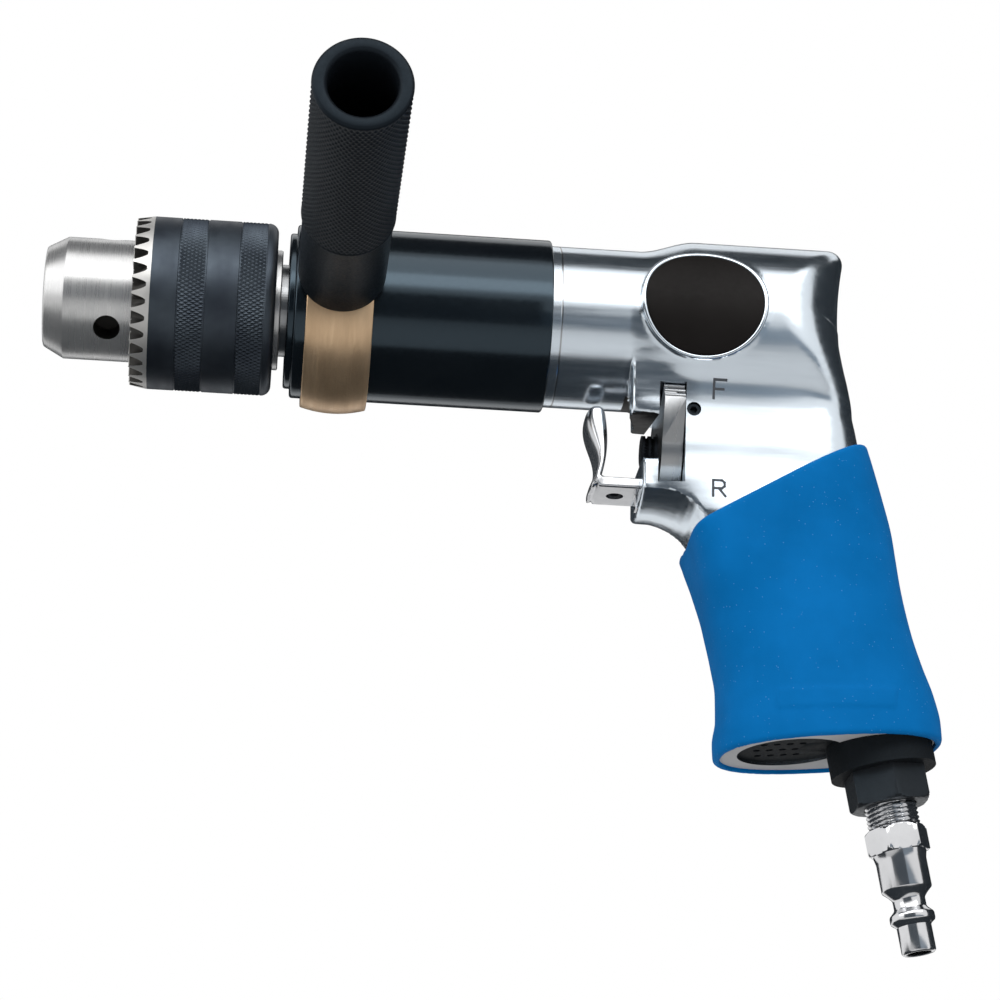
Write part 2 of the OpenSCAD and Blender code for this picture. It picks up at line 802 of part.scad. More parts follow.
// Turned outside of the neck, flare and barrel, with ring grooves behind the seam
function smooth(t) = t * t * (3 - 2 * t);
module barrel() {
    groove = 0.45;
    flare_steps = 8;
    at_seam()
        turned(concat(
            [[0, -spigot_len], [gear_bore_r - seat, -spigot_len], [gear_bore_r - seat, 0], [neck_r - 0.6, 0],
             [neck_r, 0.6], [neck_r, 1.7], [neck_r - groove, 1.9], [neck_r - groove, 2.7], [neck_r, 2.9],
             [neck_r, 4.4], [neck_r - groove, 4.6], [neck_r - groove, 5.6], [neck_r, 5.9]],
            [for (i = [0:flare_steps]) let (t = i / flare_steps)
                [neck_r + (barrel_r - neck_r) * smooth(t), neck_len + flare_len * t]],
            [for (a = [0:15:90])
                [barrel_r - rear_round * (1 - cos(a)), housing_len - rear_round * (1 - sin(a))]],
            [[0, housing_len]]));
}

// Oval column through the badge's side of the barrel
module badge_prism(rim) {
    at_seam()
        translate([badge_u, 0, badge_z])
            rotate([90, 0, 0])
                oval_prism(badge_a + rim, badge_b + rim, 2 * barrel_r);
}

// Raised oval pad that carries the badge
module badge_pad() {
    intersection() {
        badge_prism(badge_rim);
        at_seam()
            rod_x(barrel_r, badge_u - badge_a - 2 * badge_rim, badge_u + badge_a + 2 * badge_rim);
    }
}

// Clear column outside the pad, so that the handle leaves the badge's seat free
module badge_seat() {
    difference() {
        badge_prism(badge_rim + gap);
        at_seam()
            rod_x(barrel_r - 0.5, badge_u - badge_a - 2 * badge_rim, badge_u + badge_a + 2 * badge_rim);
    }
}

// Waisted spool that hollows the housing's back for the web of the thumb
module thumb_saddle() {
    plan_r = barrel_r + 1;
    edge = barrel_r + 0.5;
    saddle_z = 3;
    at_seam()
        translate([housing_len - saddle_depth + saddle_r, 0, saddle_z])
            rotate([90, 0, 0])
                rotate_extrude($fn = 180)
                    polygon(concat([[0, -edge]],
                        [for (i = [-12:12]) let (y = edge * i / 12)
                            [saddle_r + plan_r - sqrt(plan_r * plan_r - y * y), y]],
                        [[0, edge]]));
}

// Cast handle below the barrel, without its openings
casting_levels = concat(casting_top_levels,
    [for (s = inset(grip_levels, rubber_wall)) if (s[0] <= -63) s]);
module handle_core(grow) {
    at_datum()
        loft(inset(casting_levels, -grow), 32, 2.3);
}

// Space under the neck for the trigger, with the window that shows the reversing spool
module trigger_window() {
    half = 30;
    clear_h = 5;
    at_datum()
        translate([0, half, 0])
            rotate([90, 0, 0])
                linear_extrude(2 * half)
                    polygon([[0, 0], [boss_front_u, 0], [boss_front_u, boss_bottom_z - clear_h],
                             [slot_u + past, boss_bottom_z - clear_h], [slot_u + past, lip_top_z],
                             [lip_front_u + 1, lip_top_z], [lip_front_u, lip_top_z - 1],
                             [lip_front_u, lip_bottom_z - clear_h], [0, lip_bottom_z - clear_h]]);
    at_datum()
        translate([0, 0, boss_bottom_z])
            rotate([boss_slant, 0, 0])
                translate([0, -half, -2 * clear_h])
                    cube([slot_u + past, 2 * half, 2 * clear_h]);
}

// Horn under the trigger's arm that curves down to the grip, with square edges
module horn() {
    half = 14.8;
    top_z = lip_top_z + 3;
    at_datum()
        translate([0, half, 0])
            rotate([90, 0, 0])
                linear_extrude(2 * half)
                    polygon([[lip_front_u - past, top_z], [lip_front_u - past, -49.7], [30.4, -49.8],
                             [35.3, -51.3], [38.9, -53.7], [40.5, -55.8], [45, -55], [45, top_z]]);
}

// Air ways, valve bores and pockets inside the casting
module handle_openings() {
    pocket_len = arm_end_u - lip_front_u + past + trigger_travel + gap;
    at_datum() {
        translate([slot_u, -2 * barrel_r, spool_z - slot_half_h])
            cube([slot_w, 4 * barrel_r, 2 * slot_half_h]);
        translate([0, 0, spool_z])
            rod_x(spool_r + run, slot_u, spool_end_u + 0.5);
        translate([lip_front_u - past, -trigger_half_w - gap, lip_bottom_z - gap])
            cube([pocket_len, 2 * (trigger_half_w + gap), arm_t + 2 * gap]);
        translate([lip_front_u - past, -heel_half_w - gap, heel_bottom_z - gap])
            cube([pocket_len, 2 * (heel_half_w + gap), lip_bottom_z - heel_bottom_z + gap]);
        translate([0, 0, stem_z]) {
            rod_x(stem_r + 0.1, lip_front_u, seat_u + past);
            rod_x(chamber_r, seat_u, chamber_end_u);
            rod_x(chamber_r - 1.5, chamber_end_u - past, inlet_u - 9);
        }
        translate([seat_u + seat_len / 2, 0, stem_z])
            cylinder(r = 1.8, h = spool_z - stem_z);
        for (u = [spool_end_u - 11.5, spool_end_u - 5.5])
            translate([u, 0, spool_z])
                cylinder(r = 2, h = -spool_z - datum_z - motor_bore_r + 2);
        translate([set_screw_u, -2 * barrel_r, set_screw_z])
            rotate([-90, 0, 0])
                cylinder(r = set_screw_r + seat, h = 2 * barrel_r - set_screw_inner_y + gap);
    }
    at_inlet() {
        translate([0, 0, collar_top])
            cylinder(r = collar_r + gap / 2, h = 40);
        translate([0, 0, bushing_top])
            cylinder(r = bushing_r + seat, h = 40);
        translate([0, 0, -66])
            cylinder(r = 5.6, h = 66);
    }
    for (side = [-1, 1])
        at_datum()
            translate([rim_u - 5, side * exhaust_y, rim_z])
                rotate([0, -inlet_tilt, 0])
                    cylinder(r = exhaust_r, h = -rim_z - 14);
    at_rim()
        translate([(cap_front + cap_rear) / 2, 0, rim_recess - past])
            oval_prism((cap_rear - cap_front) / 2 + seat, cap_half_w + seat, past + cap_t + felt_t + gap);
}

module motor_housing() {
    color("lightgray")
        difference() {
            union() {
                barrel();
                badge_pad();
                difference() {
                    union() {
                        handle_core(0);
                        horn();
                    }
                    trigger_window();
                    badge_seat();
                }
            }
            thumb_saddle();
            handle_openings();
            at_seam()
                rod_x(motor_bore_r, -spigot_len - past, motor_bore_end);
            at_rim()
                translate([-100, -50, rim_recess - 100])
                    cube([200, 100, 100]);
        }
}

module badge_plate() {
    color("black")
        intersection() {
            badge_prism(0);
            at_seam()
                tube_x(barrel_r + badge_t, barrel_r + seat, badge_u - badge_a - 1, badge_u + badge_a + 1);
        }
}

// Grip, exhaust and air inlet

module rubber_grip() {
    color([0, 0.42, 0.7])
        difference() {
            at_datum()
                loft(grip_levels, 40, 2.4);
            handle_core(seat);
            at_datum()
                translate([grip_edge_u, 0, grip_edge_z])
                    rotate([0, -grip_edge_tilt, 0])
                        translate([-100, -50, 0])
                            cube([200, 100, 100]);
            at_rim()
                translate([-100, -50, -100])
                    cube([200, 100, 100]);
            at_inlet()
                translate([0, 0, collar_top - 4])
                    cylinder(r = collar_r + gap, h = 40);
        }
}

module exhaust_cap() {
    color([0.1, 0.1, 0.11])
        difference() {
            union() {
                at_rim()
                    translate([(cap_front + cap_rear) / 2, 0, rim_recess])
                        oval_prism((cap_rear - cap_front) / 2, cap_half_w, cap_t);
                at_inlet()
                    translate([0, 0, collar_top])
                        cylinder(r = collar_r, h = collar_end - collar_top);
            }
            at_inlet()
                translate([0, 0, collar_top - 5])
                    cylinder(r = bushing_r + seat, h = 30);
            at_rim()
                for (i = [0:3], j = [-1:1])
                    translate([cap_front + 5 + 3.4 * i + 1.2 * abs(j), 5.2 * j, -past])
                        cylinder(r = cap_hole_r, h = 10);
        }
}

module muffler_felt() {
    color("tan")
        difference() {
            at_rim()
                translate([(cap_front + cap_rear) / 2, 0, rim_recess + cap_t])
                    oval_prism((cap_rear - cap_front) / 2 - 0.1, cap_half_w - 0.1, felt_t);
            at_inlet()
                translate([0, 0, collar_top - 20])
                    cylinder(r = collar_r + gap, h = 60);
        }
}

module inlet_bushing() {
    chamfer_r = bushing_flats / 2 - 1.2;
    color([0.12, 0.12, 0.13])
        at_inlet()
            difference() {
                union() {
                    translate([0, 0, bushing_top])
                        cylinder(r = bushing_r, h = collar_end - bushing_top + past);
                    intersection() {
                        hex_prism(bushing_flats, collar_end, bushing_end);
                        translate([0, 0, bushing_end - 30])
                            cylinder(r1 = chamfer_r + 30, r2 = chamfer_r, h = 30);
                    }
                }
                translate([0, 0, bushing_end - bushing_thread_len])
                    cylinder(r = thread_r + seat, h = bushing_thread_len + past);
                translate([0, 0, bushing_top - past])
                    cylinder(r = 5, h = 40);
                translate([0, 0, bushing_top - past])
                    cylinder(r = 7, h = past + 1.5);
            }
}

module inlet_screen() {
    color("gray")
        at_inlet()
            difference() {
                translate([0, 0, bushing_top + 0.2])
                    cylinder(r = 7 - seat, h = 1.3);
                for (x = [-1:1], y = [-1:1])
                    translate([3 * x, 3 * y, bushing_top - past])
                        cylinder(r = 1, h = 5);
            }
}

module air_plug() {
    shank_r = 6.5;
    groove_r = 4.2;
    bead_r = 5.8;
    shank_top = plug_hex_end + 2;
    shank_end = plug_hex_end + 9.5;
    groove_end = plug_hex_end + 15.5;
    bead_end = groove_end + 3.5;
    nose_end = plug_hex_end + 26;
    color("gainsboro")
        at_inlet()
            difference() {
                union() {
                    translate([0, 0, plug_top])
                        cylinder(r = thread_r, h = plug_hex_top - plug_top + past);
                    hex_prism(plug_flats, plug_hex_top, plug_hex_end);
                    rotate_extrude()
                        polygon([[0, plug_hex_end - past], [plug_flats / 2 - 0.2, plug_hex_end - past],
                                 [plug_flats / 2 - 0.2, plug_hex_end], [shank_r, shank_top],
                                 [shank_r, shank_end],
                                 [groove_r, shank_end + 2.2], [groove_r, groove_end - 1.4],
                                 [bead_r - 0.5, groove_end], [bead_r, groove_end + 0.6],
                                 [bead_r, bead_end - 1.2], [plug_nose_r, bead_end],
                                 [plug_nose_r, nose_end - 0.5], [plug_nose_r - 0.5, nose_end],
                                 [0, nose_end]]);
                }
                translate([0, 0, plug_top - past])
                    cylinder(r = plug_bore_r, h = nose_end - plug_top + 2 * past);
            }
}

// Side handle

module clamp_ring() {
    steps = 10;
    color("peru")
        difference() {
            translate([gear_x + handle_x, 0, 0])
                turned(concat(
                    [for (i = [-steps:steps]) let (t = i / steps)
                        [ring_crown_r - ring_crown * t * t, ring_w / 2 * t]],
                    [[gear_r + run, ring_w / 2], [gear_r + run, -ring_w / 2]]));
            at_handle()
                cylinder(r = stud_r + seat, h = handle_reach);
        }
}

// Frame on the handle's axis, with Z pointing away from the spindle axis
module at_handle() {
    translate([gear_x + handle_x, 0, 0])
        rotate([90, 0, 0])
            children();
}

stud_len = 26;
module clamp_stud() {
    color("dimgray")
        at_handle()
            translate([0, 0, gear_r + gap])
                cylinder(r = stud_r, h = stud_len);
}

module handle_tube() {
    base = ring_crown_r + 0.1;
    floor_z = gear_r + stud_len + 4;
    edge = 2;
    tip = 0.8;
    color([0.13, 0.13, 0.14])
        at_handle()
            difference() {
                rotate_extrude()
                    polygon(concat([[0, base]],
                        [for (a = [0:15:90])
                            [handle_root_r - edge * (1 - sin(a)), base + edge * (1 - cos(a))]],
                        [[handle_root_r, base + handle_root_len - 0.6], [handle_r, base + handle_root_len],
                         [handle_r, handle_reach - tip], [handle_r - tip, handle_reach],
                         [handle_bore_r + tip, handle_reach], [handle_bore_r, handle_reach - tip],
                         [handle_bore_r, floor_z], [0, floor_z]]));
                cylinder(r = stud_r + seat, h = gear_r + gap + stud_len + 0.5);
            }
}

// Trigger, throttle and reverse

// Front and back of the trigger's finger blade at a height
function blade_front(z) = trigger_mid_u - trigger_swing * cos(360 * (z - trigger_crest_z) / trigger_pitch);
function blade_back(z) = trigger_back_u - trigger_back_curve * pow(z - trigger_back_z, 2);

module trigger() {
    steps = 12;
    tip = 0.5;
    blade = concat(
        [[trigger_top_z + tip, blade_front(trigger_top_z) + 2, blade_back(trigger_top_z) - 1.6,
          trigger_half_w - 2]],
        [for (i = [0:steps]) let (z = trigger_top_z + (lip_bottom_z - trigger_top_z) * i / steps)
            [z, blade_front(z), blade_back(z), trigger_half_w]]);
    color("gainsboro")
        at_datum()
            difference() {
                union() {
                    loft(blade, 24, 3);
                    translate([trigger_mid_u + 2, -trigger_half_w, lip_bottom_z])
                        cube([arm_end_u - trigger_mid_u - 2, 2 * trigger_half_w, arm_t]);
                    translate([arm_end_u - heel_len, -heel_half_w, heel_bottom_z])
                        cube([heel_len, 2 * heel_half_w, lip_bottom_z + arm_t - heel_bottom_z]);
                }
                translate([trigger_screw_u, 0, lip_bottom_z - past])
                    cylinder(r = trigger_screw_r, h = arm_t + 2 * past);
            }
}

module trigger_screw() {
    color("black")
        at_datum()
            translate([trigger_screw_u, 0, lip_bottom_z + 0.6])
                difference() {
                    cylinder(r = trigger_screw_r - seat, h = arm_t - 0.6);
                    hex_prism(2.5, -past, 1.4);
                }
}

module throttle_stem() {
    valve_u = seat_u + seat_len + 0.1;
    color("silver")
        at_datum()
            translate([0, 0, stem_z]) {
                rod_x(stem_r, arm_end_u, valve_u);
                rod_x(chamber_r - 0.6, valve_u, valve_u + valve_t);
            }
}

module throttle_seat() {
    color("peru")
        at_datum()
            translate([0, 0, stem_z])
                tube_x(chamber_r - seat, stem_r + 0.1, seat_u, seat_u + seat_len);
}

// Coil spring as one wire swept along a helix
module throttle_spring() {
    coil_r = chamber_r - 1.4;
    rings = 10;
    sides = 6;
    u0 = seat_u + seat_len + 0.1 + valve_t + spring_wire_r + 0.15;
    u1 = chamber_end_u - spring_wire_r - 0.15;
    count = spring_turns * rings;
    points = [for (k = [0:count], i = [0:sides - 1])
        let (a = 360 * k / rings, r = coil_r + spring_wire_r * cos(360 * i / sides))
            [u0 + (u1 - u0) * k / count + spring_wire_r * sin(360 * i / sides), r * cos(a), r * sin(a)]];
    walls = [for (k = [0:count - 1], i = [0:sides - 1])
        let (j = (i + 1) % sides, a = k * sides, b = a + sides)
            each [[a + i, b + i, a + j], [a + j, b + i, b + j]]];
    start = [for (i = [0:sides - 1]) i];
    end = [for (i = [sides - 1:-1:0]) count * sides + i];
    color("gray")
        at_datum()
            translate([0, 0, stem_z])
                polyhedron(points, concat(walls, [start, end]));
}

// Drum with a thumb tab whose underside runs down onto the drum
module reverse_lever() {
    out = [-cos(tab_angle), sin(tab_angle)];
    up = [sin(tab_angle), cos(tab_angle)];
    end = (drum_r + tab_reach) * out;
    color("darkgray")
        at_datum()
            translate([drum_u, 0, spool_z])
                difference() {
                    union() {
                        rod_x(drum_r, 0, drum_w);
                        rotate([90, 0, 90])
                            linear_extrude(drum_w)
                                polygon([[0, 0], tab_w / 2 * up + drum_r * out * 0.8, end + tab_w / 2 * up,
                                         end - tab_w / 2 * up,
                                         drum_r * [-cos(tab_heel_angle), sin(tab_heel_angle)]]);
                    }
                    rod_x(spool_r + seat, -past, drum_w + past);
                }
}

module reverse_spool() {
    front_r = spool_r - 0.8;
    groove = 0.6;
    port_w = 4;
    color("dimgray")
        at_datum()
            translate([0, 0, spool_z])
                difference() {
                    union() {
                        rod_x(front_r, spool_front_u, drum_u);
                        rod_x(spool_r, drum_u, spool_end_u);
                    }
                    for (u = [spool_front_u + 0.9, spool_front_u + 2.5, spool_front_u + 4.1])
                        tube_x(spool_r, front_r - groove, u, u + 0.8);
                    translate([spool_end_u - 8.5 - port_w, -spool_r, 1.5])
                        cube([2 * port_w, 2 * spool_r, spool_r]);
                }
}

module spool_set_screw() {
    color("black")
        at_datum()
            translate([set_screw_u, -set_screw_outer_y, set_screw_z])
                rotate([-90, 0, 0])
                    difference() {
                        cylinder(r = set_screw_r, h = set_screw_outer_y - set_screw_inner_y);
                        hex_prism(1.8, -past, 1.5);
                    }
}

motor_housing();
gear_housing();
ring_gear();
spindle_front_bearing();
spindle_rear_bearing();
bearing_spacer();
spindle();
spindle_collar();
output_pins();
planet(0, output_planet_x);  // output_planet_1
planet(1, output_planet_x);  // output_planet_2
planet(2, output_planet_x);  // output_planet_3
first_carrier();
first_pins();
planet(0, first_planet_x);  // first_planet_1
planet(1, first_planet_x);  // first_planet_2
planet(2, first_planet_x);  // first_planet_3
rotor();
rotor_vanes();
motor_clamp_sleeve();
motor_cylinder();
front_end_plate();
rear_end_plate();
rotor_front_bearing();
rotor_rear_bearing();
chuck_body();
chuck_sleeve();
chuck_nut();
chuck_jaw(0);  // chuck_jaw_1
chuck_jaw(1);  // chuck_jaw_2
chuck_jaw(2);  // chuck_jaw_3
chuck_screw();
clamp_ring();
clamp_stud();
handle_tube();
trigger();
trigger_screw();
throttle_stem();
throttle_seat();
throttle_spring();
reverse_lever();
reverse_spool();
spool_set_screw();
rubber_grip();
badge_plate();
exhaust_cap();
muffler_felt();
inlet_bushing();
inlet_screen();
air_plug();
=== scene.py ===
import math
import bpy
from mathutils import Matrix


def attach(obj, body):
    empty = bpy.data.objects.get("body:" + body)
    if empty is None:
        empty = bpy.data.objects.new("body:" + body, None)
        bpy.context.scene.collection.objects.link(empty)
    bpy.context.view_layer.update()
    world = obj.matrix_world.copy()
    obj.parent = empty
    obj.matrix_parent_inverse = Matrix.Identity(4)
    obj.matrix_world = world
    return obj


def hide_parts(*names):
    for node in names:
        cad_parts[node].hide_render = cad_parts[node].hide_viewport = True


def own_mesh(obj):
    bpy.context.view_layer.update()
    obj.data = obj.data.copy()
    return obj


bl_info = {
    "name": "Air Drill Looks",
    "version": (1, 0, 0),
    "blender": (4, 5, 0),
    "location": "View3D > Sidebar > Air Drill",
    "description": "Finishes and fine shapes for a pistol-grip air drill with a keyed chuck and a side handle",
    "category": "Object",
}

import bmesh
import bpy
import numpy as np
from bpy.props import FloatProperty, FloatVectorProperty, IntProperty, PointerProperty
from mathutils import Matrix, Vector

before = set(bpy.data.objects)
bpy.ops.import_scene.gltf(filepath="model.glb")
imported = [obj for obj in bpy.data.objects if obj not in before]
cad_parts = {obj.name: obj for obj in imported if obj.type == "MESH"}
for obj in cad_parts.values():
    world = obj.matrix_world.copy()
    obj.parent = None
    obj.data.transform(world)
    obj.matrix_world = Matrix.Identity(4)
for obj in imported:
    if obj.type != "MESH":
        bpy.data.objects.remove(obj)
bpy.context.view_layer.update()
MM = 0.001
TAU = 2 * math.pi

# Stations of the drill in millimetres, from the chuck's mouth to the rear
SEAM = 133.5
HANDLE_X = 77.6
SPOOL_Z = -34.3

# Air inlet and lower rim of the grip: a point of each in millimetres and its tilt
INLET = np.array([223.4, 0.0, -115.0])
INLET_TILT = math.radians(10.3)
RIM = np.array([205.0, 0.0, -115.5])
RIM_TILT = math.radians(5.7)

# Ends of the casting before its front and its foot are cut flush, in millimetres from the seam and in Z
CAST_FRONT = -1.6
CAST_FOOT = -119.0

# Chuck in millimetres: key holes and jaw passages, each with the angle of the first of three in degrees, then
# the mouth, and where the sleeve's teeth begin
KEY = np.array([17.1, 0.0, 0.0])
KEY_RADIUS, KEY_ANGLE = 3.5, 50
JAW_RADIUS, JAW_ANGLE, JAW_SLOPE = 3.35, 110, math.tan(math.radians(14))
MOUTH_RADIUS = 6.75
TOOTH_TIP = 23.3

# Badge: middle along the barrel from the seam and round it, half sizes, and the radius it is unrolled on
BADGE_U, BADGE_V = 39.75, -0.2
BADGE_A, BADGE_B = 15.65, 15.15
BADGE_R = 25.6

# What every colour setting shares
COLOUR = {"subtype": "COLOR", "size": 4}


class DrillSizes(bpy.types.PropertyGroup):
    """Fine sizes of the drill's surfaces, in metres or counts"""

    knurl_count: IntProperty(
        name="Handle knurl", description="Knurl ridges around the side handle", default=52, min=24, max=72)
    knurl_depth: FloatProperty(
        name="Handle knurl depth", description="Depth of the side handle's knurl", default=0.00032, unit="LENGTH")
    band_depth: FloatProperty(
        name="Sleeve knurl depth", description="Depth of the sleeve's knurl", default=0.00034, unit="LENGTH")
    tooth_count: IntProperty(
        name="Key teeth", description="Bevel teeth on the chuck sleeve's rim", default=32, min=20, max=40)
    thread_pitch: FloatProperty(
        name="Plug thread pitch", description="Pitch of the plug's pipe thread", default=0.00115, unit="LENGTH")
    casting_voxel: FloatProperty(
        name="Casting voxel", description="Grid size that blends the casting", default=0.0008, unit="LENGTH")


class DrillFinishes(bpy.types.PropertyGroup):
    """Colours of the drill's finishes"""

    aluminium: FloatVectorProperty(
        name="Polished aluminium", description="Colour of the casting", default=(0.78, 0.86, 0.93, 1), **COLOUR)
    black_gloss: FloatVectorProperty(
        name="Gloss black", description="Colour of the gear housing", default=(0.003, 0.0045, 0.006, 1), **COLOUR)
    blued: FloatVectorProperty(
        name="Blued steel", description="Colour of the sleeve", default=(0.078, 0.096, 0.115, 1), **COLOUR)
    brass: FloatVectorProperty(
        name="Brass", description="Colour of the clamp ring", default=(0.82, 0.58, 0.36, 1), **COLOUR)
    satin: FloatVectorProperty(
        name="Satin black", description="Colour of the side handle", default=(0.006, 0.008, 0.011, 1), **COLOUR)
    rubber: FloatVectorProperty(
        name="Blue rubber", description="Colour of the grip", default=(0.0, 0.165, 0.49, 1), **COLOUR)


def sizes():
    """The fine sizes kept on the scene."""
    return bpy.context.scene.drill_sizes


def finishes():
    """The finish colours kept on the scene."""
    return bpy.context.scene.drill_finishes


# Numpy surfaces


def curve_through(t, knots, values):
    """Monotone cubic through the knots: at each knot the slope is the harmonic mean of its two
    chords, and zero where the chords change sign, so the curve never swings past a given value."""
    knots, values = np.asarray(knots, float), np.asarray(values, float)
    if knots[0] > knots[-1]:
        knots, values = knots[::-1], values[::-1]
    step = np.diff(knots)
    chord = np.diff(values) / step
    before, after = chord[:-1], chord[1:]
    same = before * after > 0
    mean = np.zeros(len(chord) - 1)
    mean[same] = 2 * before[same] * after[same] / (before[same] + after[same])
    slope = np.concatenate([chord[:1], mean, chord[-1:]])
    i = np.clip(np.searchsorted(knots, t) - 1, 0, len(step) - 1)
    h, s = step[i], (t - knots[i]) / step[i]
    a = values[i] * (1 + 2 * s) * (1 - s) ** 2 + slope[i] * h * s * (1 - s) ** 2
    return a + values[i + 1] * s * s * (3 - 2 * s) + slope[i + 1] * h * s * s * (s - 1)


def ease(value, low, high):
    """Smooth step from 0 at the low value to 1 at the high one: t t (3 - 2 t)."""
    t = np.clip((value - low) / (high - low), 0, 1)
    return t * t * (3 - 2 * t)


def between(value, low, high):
    """True where a value lies between two others."""
    return (value > low) & (value < high)


def clean(mesh, distance):
    """Joins points closer than the distance and turns the normals outwards."""
    work = bmesh.new()
    work.from_mesh(mesh)
    bmesh.ops.remove_doubles(work, verts=work.verts, dist=distance)
    bmesh.ops.recalc_face_normals(work, faces=work.faces)
    work.to_mesh(mesh)
    work.free()


def shade(mesh, angle=None):
    """Smooth shading, with edges sharper than the angle in degrees kept crisp."""
    mesh.polygons.foreach_set("use_smooth", np.ones(len(mesh.polygons), bool))
    if angle is not None:
        mesh.set_sharp_from_angle(angle=math.radians(angle))
    mesh.update()


def placed(name, data):
    """Object at the origin, linked to the scene."""
    obj = bpy.data.objects.new(name, data)
    bpy.context.scene.collection.objects.link(obj)
    return obj


def mesh_object(name, part, finish=None, angle=None):
    """Closed mesh from millimetre points and faces, with its normals turned outwards."""
    points, faces = part
    mesh = bpy.data.meshes.new(name)
    mesh.from_pydata((np.asarray(points, float) * MM).tolist(), [], [list(map(int, f)) for f in faces])
    clean(mesh, 1e-7)
    if finish:
        mesh.materials.append(finish_set()[finish])
    obj = placed(name, mesh)
    shade(mesh, angle)
    return obj


def grid_piece(points, wrap_rows=False, caps=True):
    """Points and quads of a stack of rings; the first and last ring get a flat cap unless the rows wrap."""
    rows, cols = points.shape[:2]
    r, c = np.meshgrid(np.arange(rows if wrap_rows else rows - 1), np.arange(cols), indexing="ij")
    here, ahead, beside = r * cols, (r + 1) % rows * cols, (c + 1) % cols
    faces = np.stack([here + c, here + beside, ahead + beside, ahead + c], -1).reshape(-1, 4).tolist()
    if caps and not wrap_rows:
        faces += [list(range(cols)), list(range((rows - 1) * cols, rows * cols))]
    return points.reshape(-1, 3), faces


def merged(*parts):
    """Several point and face sets put into one."""
    points, faces, start = [], [], 0
    for p, f in parts:
        points.append(np.asarray(p, float))
        faces += [[i + start for i in face] for face in f]
        start += len(p)
    return np.concatenate(points), faces


def rings(along, radius, turns):
    """Distance along an axis and a radius about it, at shares of a full turn: along, r cos a, r sin a."""
    a = TAU * turns
    return np.stack([along + 0 * a, radius * np.cos(a), radius * np.sin(a)], -1)


def around_x(profile, count):
    """Closed shell of a profile of radius and X, turned about the spindle axis."""
    return rings(profile[:, 1:], profile[:, :1], np.arange(count) / count)


def rounded(points, radius, steps=5):
    """Closed outline with each corner replaced by a parabolic arc that starts the radius away from it
    on both edges; a corner with an edge too short for that gets a smaller arc."""
    p = np.asarray(points, float)
    back, ahead = np.roll(p, 1, 0) - p, np.roll(p, -1, 0) - p
    lb, la = np.linalg.norm(back, axis=1), np.linalg.norm(ahead, axis=1)
    back, ahead = back / lb[:, None], ahead / la[:, None]
    size = np.minimum(np.asarray(radius, float), np.minimum(lb, la) * 0.45)[:, None, None]
    t = np.linspace(0, 1, steps)[None, :, None]
    curve = p[:, None] + size * (back[:, None] * (1 - t) ** 2 + ahead[:, None] * t ** 2)
    return curve.reshape(-1, 2)


def resampled(profile, spacing):
    """Open outline with extra points on each edge, no further apart than the spacing."""
    parts = []
    for a, b in zip(profile[:-1], profile[1:]):
        n = max(1, int(math.ceil(np.linalg.norm(b - a) / spacing)))
        parts.append(a + (b - a) * (np.arange(n) / n)[:, None])
    return np.concatenate(parts + [profile[-1:]])


def in_inlet(points):
    """Points given as the distance out of the grip along the inlet's axis, and two across it."""
    s, c = math.sin(INLET_TILT), math.cos(INLET_TILT)
    out, x, y = np.moveaxis(np.asarray(points, float), -1, 0)
    return INLET + np.stack([s * out - c * x, y, -s * x - c * out], -1)


def in_rim(points):
    """Points given in the plane of the grip's lower rim, with the third value pointing into the grip."""
    s, c = math.sin(RIM_TILT), math.cos(RIM_TILT)
    x, y, z = np.moveaxis(np.asarray(points, float), -1, 0)
    return RIM + np.stack([c * x - s * z, y, s * x + c * z], -1)


def box_part(lo, hi):
    """Points and faces of a plain block between two corners, used as a cutting tool."""
    lo, hi = np.asarray(lo, float), np.asarray(hi, float)
    pick = np.array([[i >> 2 & 1, i >> 1 & 1, i & 1] for i in range(8)])
    faces = [[0, 1, 3, 2], [4, 6, 7, 5], [0, 4, 5, 1], [2, 3, 7, 6], [0, 2, 6, 4], [1, 5, 7, 3]]
    return lo + (hi - lo) * pick, faces


def rod_part(start, end, radius, count=48):
    """Points and faces of a plain rod from one point to another."""
    start, end = np.asarray(start, float), np.asarray(end, float)
    axis = (end - start) / np.linalg.norm(end - start)
    side = np.cross(axis, [0.0, 1.0, 0.0] if abs(axis[1]) < 0.9 else [1.0, 0.0, 0.0])
    side /= np.linalg.norm(side)
    a = np.linspace(0, TAU, count, endpoint=False)[:, None]
    ring = radius * (np.cos(a) * side + np.sin(a) * np.cross(axis, side))
    return grid_piece(np.stack([start + ring, end + ring]))


def face_table(mesh):
    """Middle in millimetres and normal of every face."""
    values = []
    for name, scale in (("center", MM), ("normal", 1.0)):
        flat = np.empty(len(mesh.polygons) * 3)
        mesh.polygons.foreach_get(name, flat)
        values.append(flat.reshape(-1, 3) / scale)
    return values


def paint(mesh, chosen, finish):
    """Gives the chosen faces a further finish."""
    index = np.empty(len(mesh.polygons), np.int32)
    mesh.polygons.foreach_get("material_index", index)
    index[chosen] = len(mesh.materials)
    mesh.materials.append(finish_set()[finish])
    mesh.polygons.foreach_set("material_index", index)


def cut(obj, *parts):
    """Takes separate closed tools out of the object's mesh with an exact boolean."""
    tool = mesh_object("cutter", merged(*parts))
    mod = obj.modifiers.new("cut", "BOOLEAN")
    mod.operation, mod.object, mod.solver = "DIFFERENCE", tool, "EXACT"
    ready = bpy.data.meshes.new_from_object(obj.evaluated_get(bpy.context.evaluated_depsgraph_get()))
    obj.modifiers.clear()
    old, obj.data = obj.data, ready
    ready.name = obj.name
    bpy.data.meshes.remove(old)
    bpy.data.objects.remove(tool)


def settle(obj, body, slot, *nodes):
    """Rides the piece on its body and hides the solids it stands for; the slot is not used."""
    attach(obj, body)
    if nodes:
        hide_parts(*nodes)


# Finishes

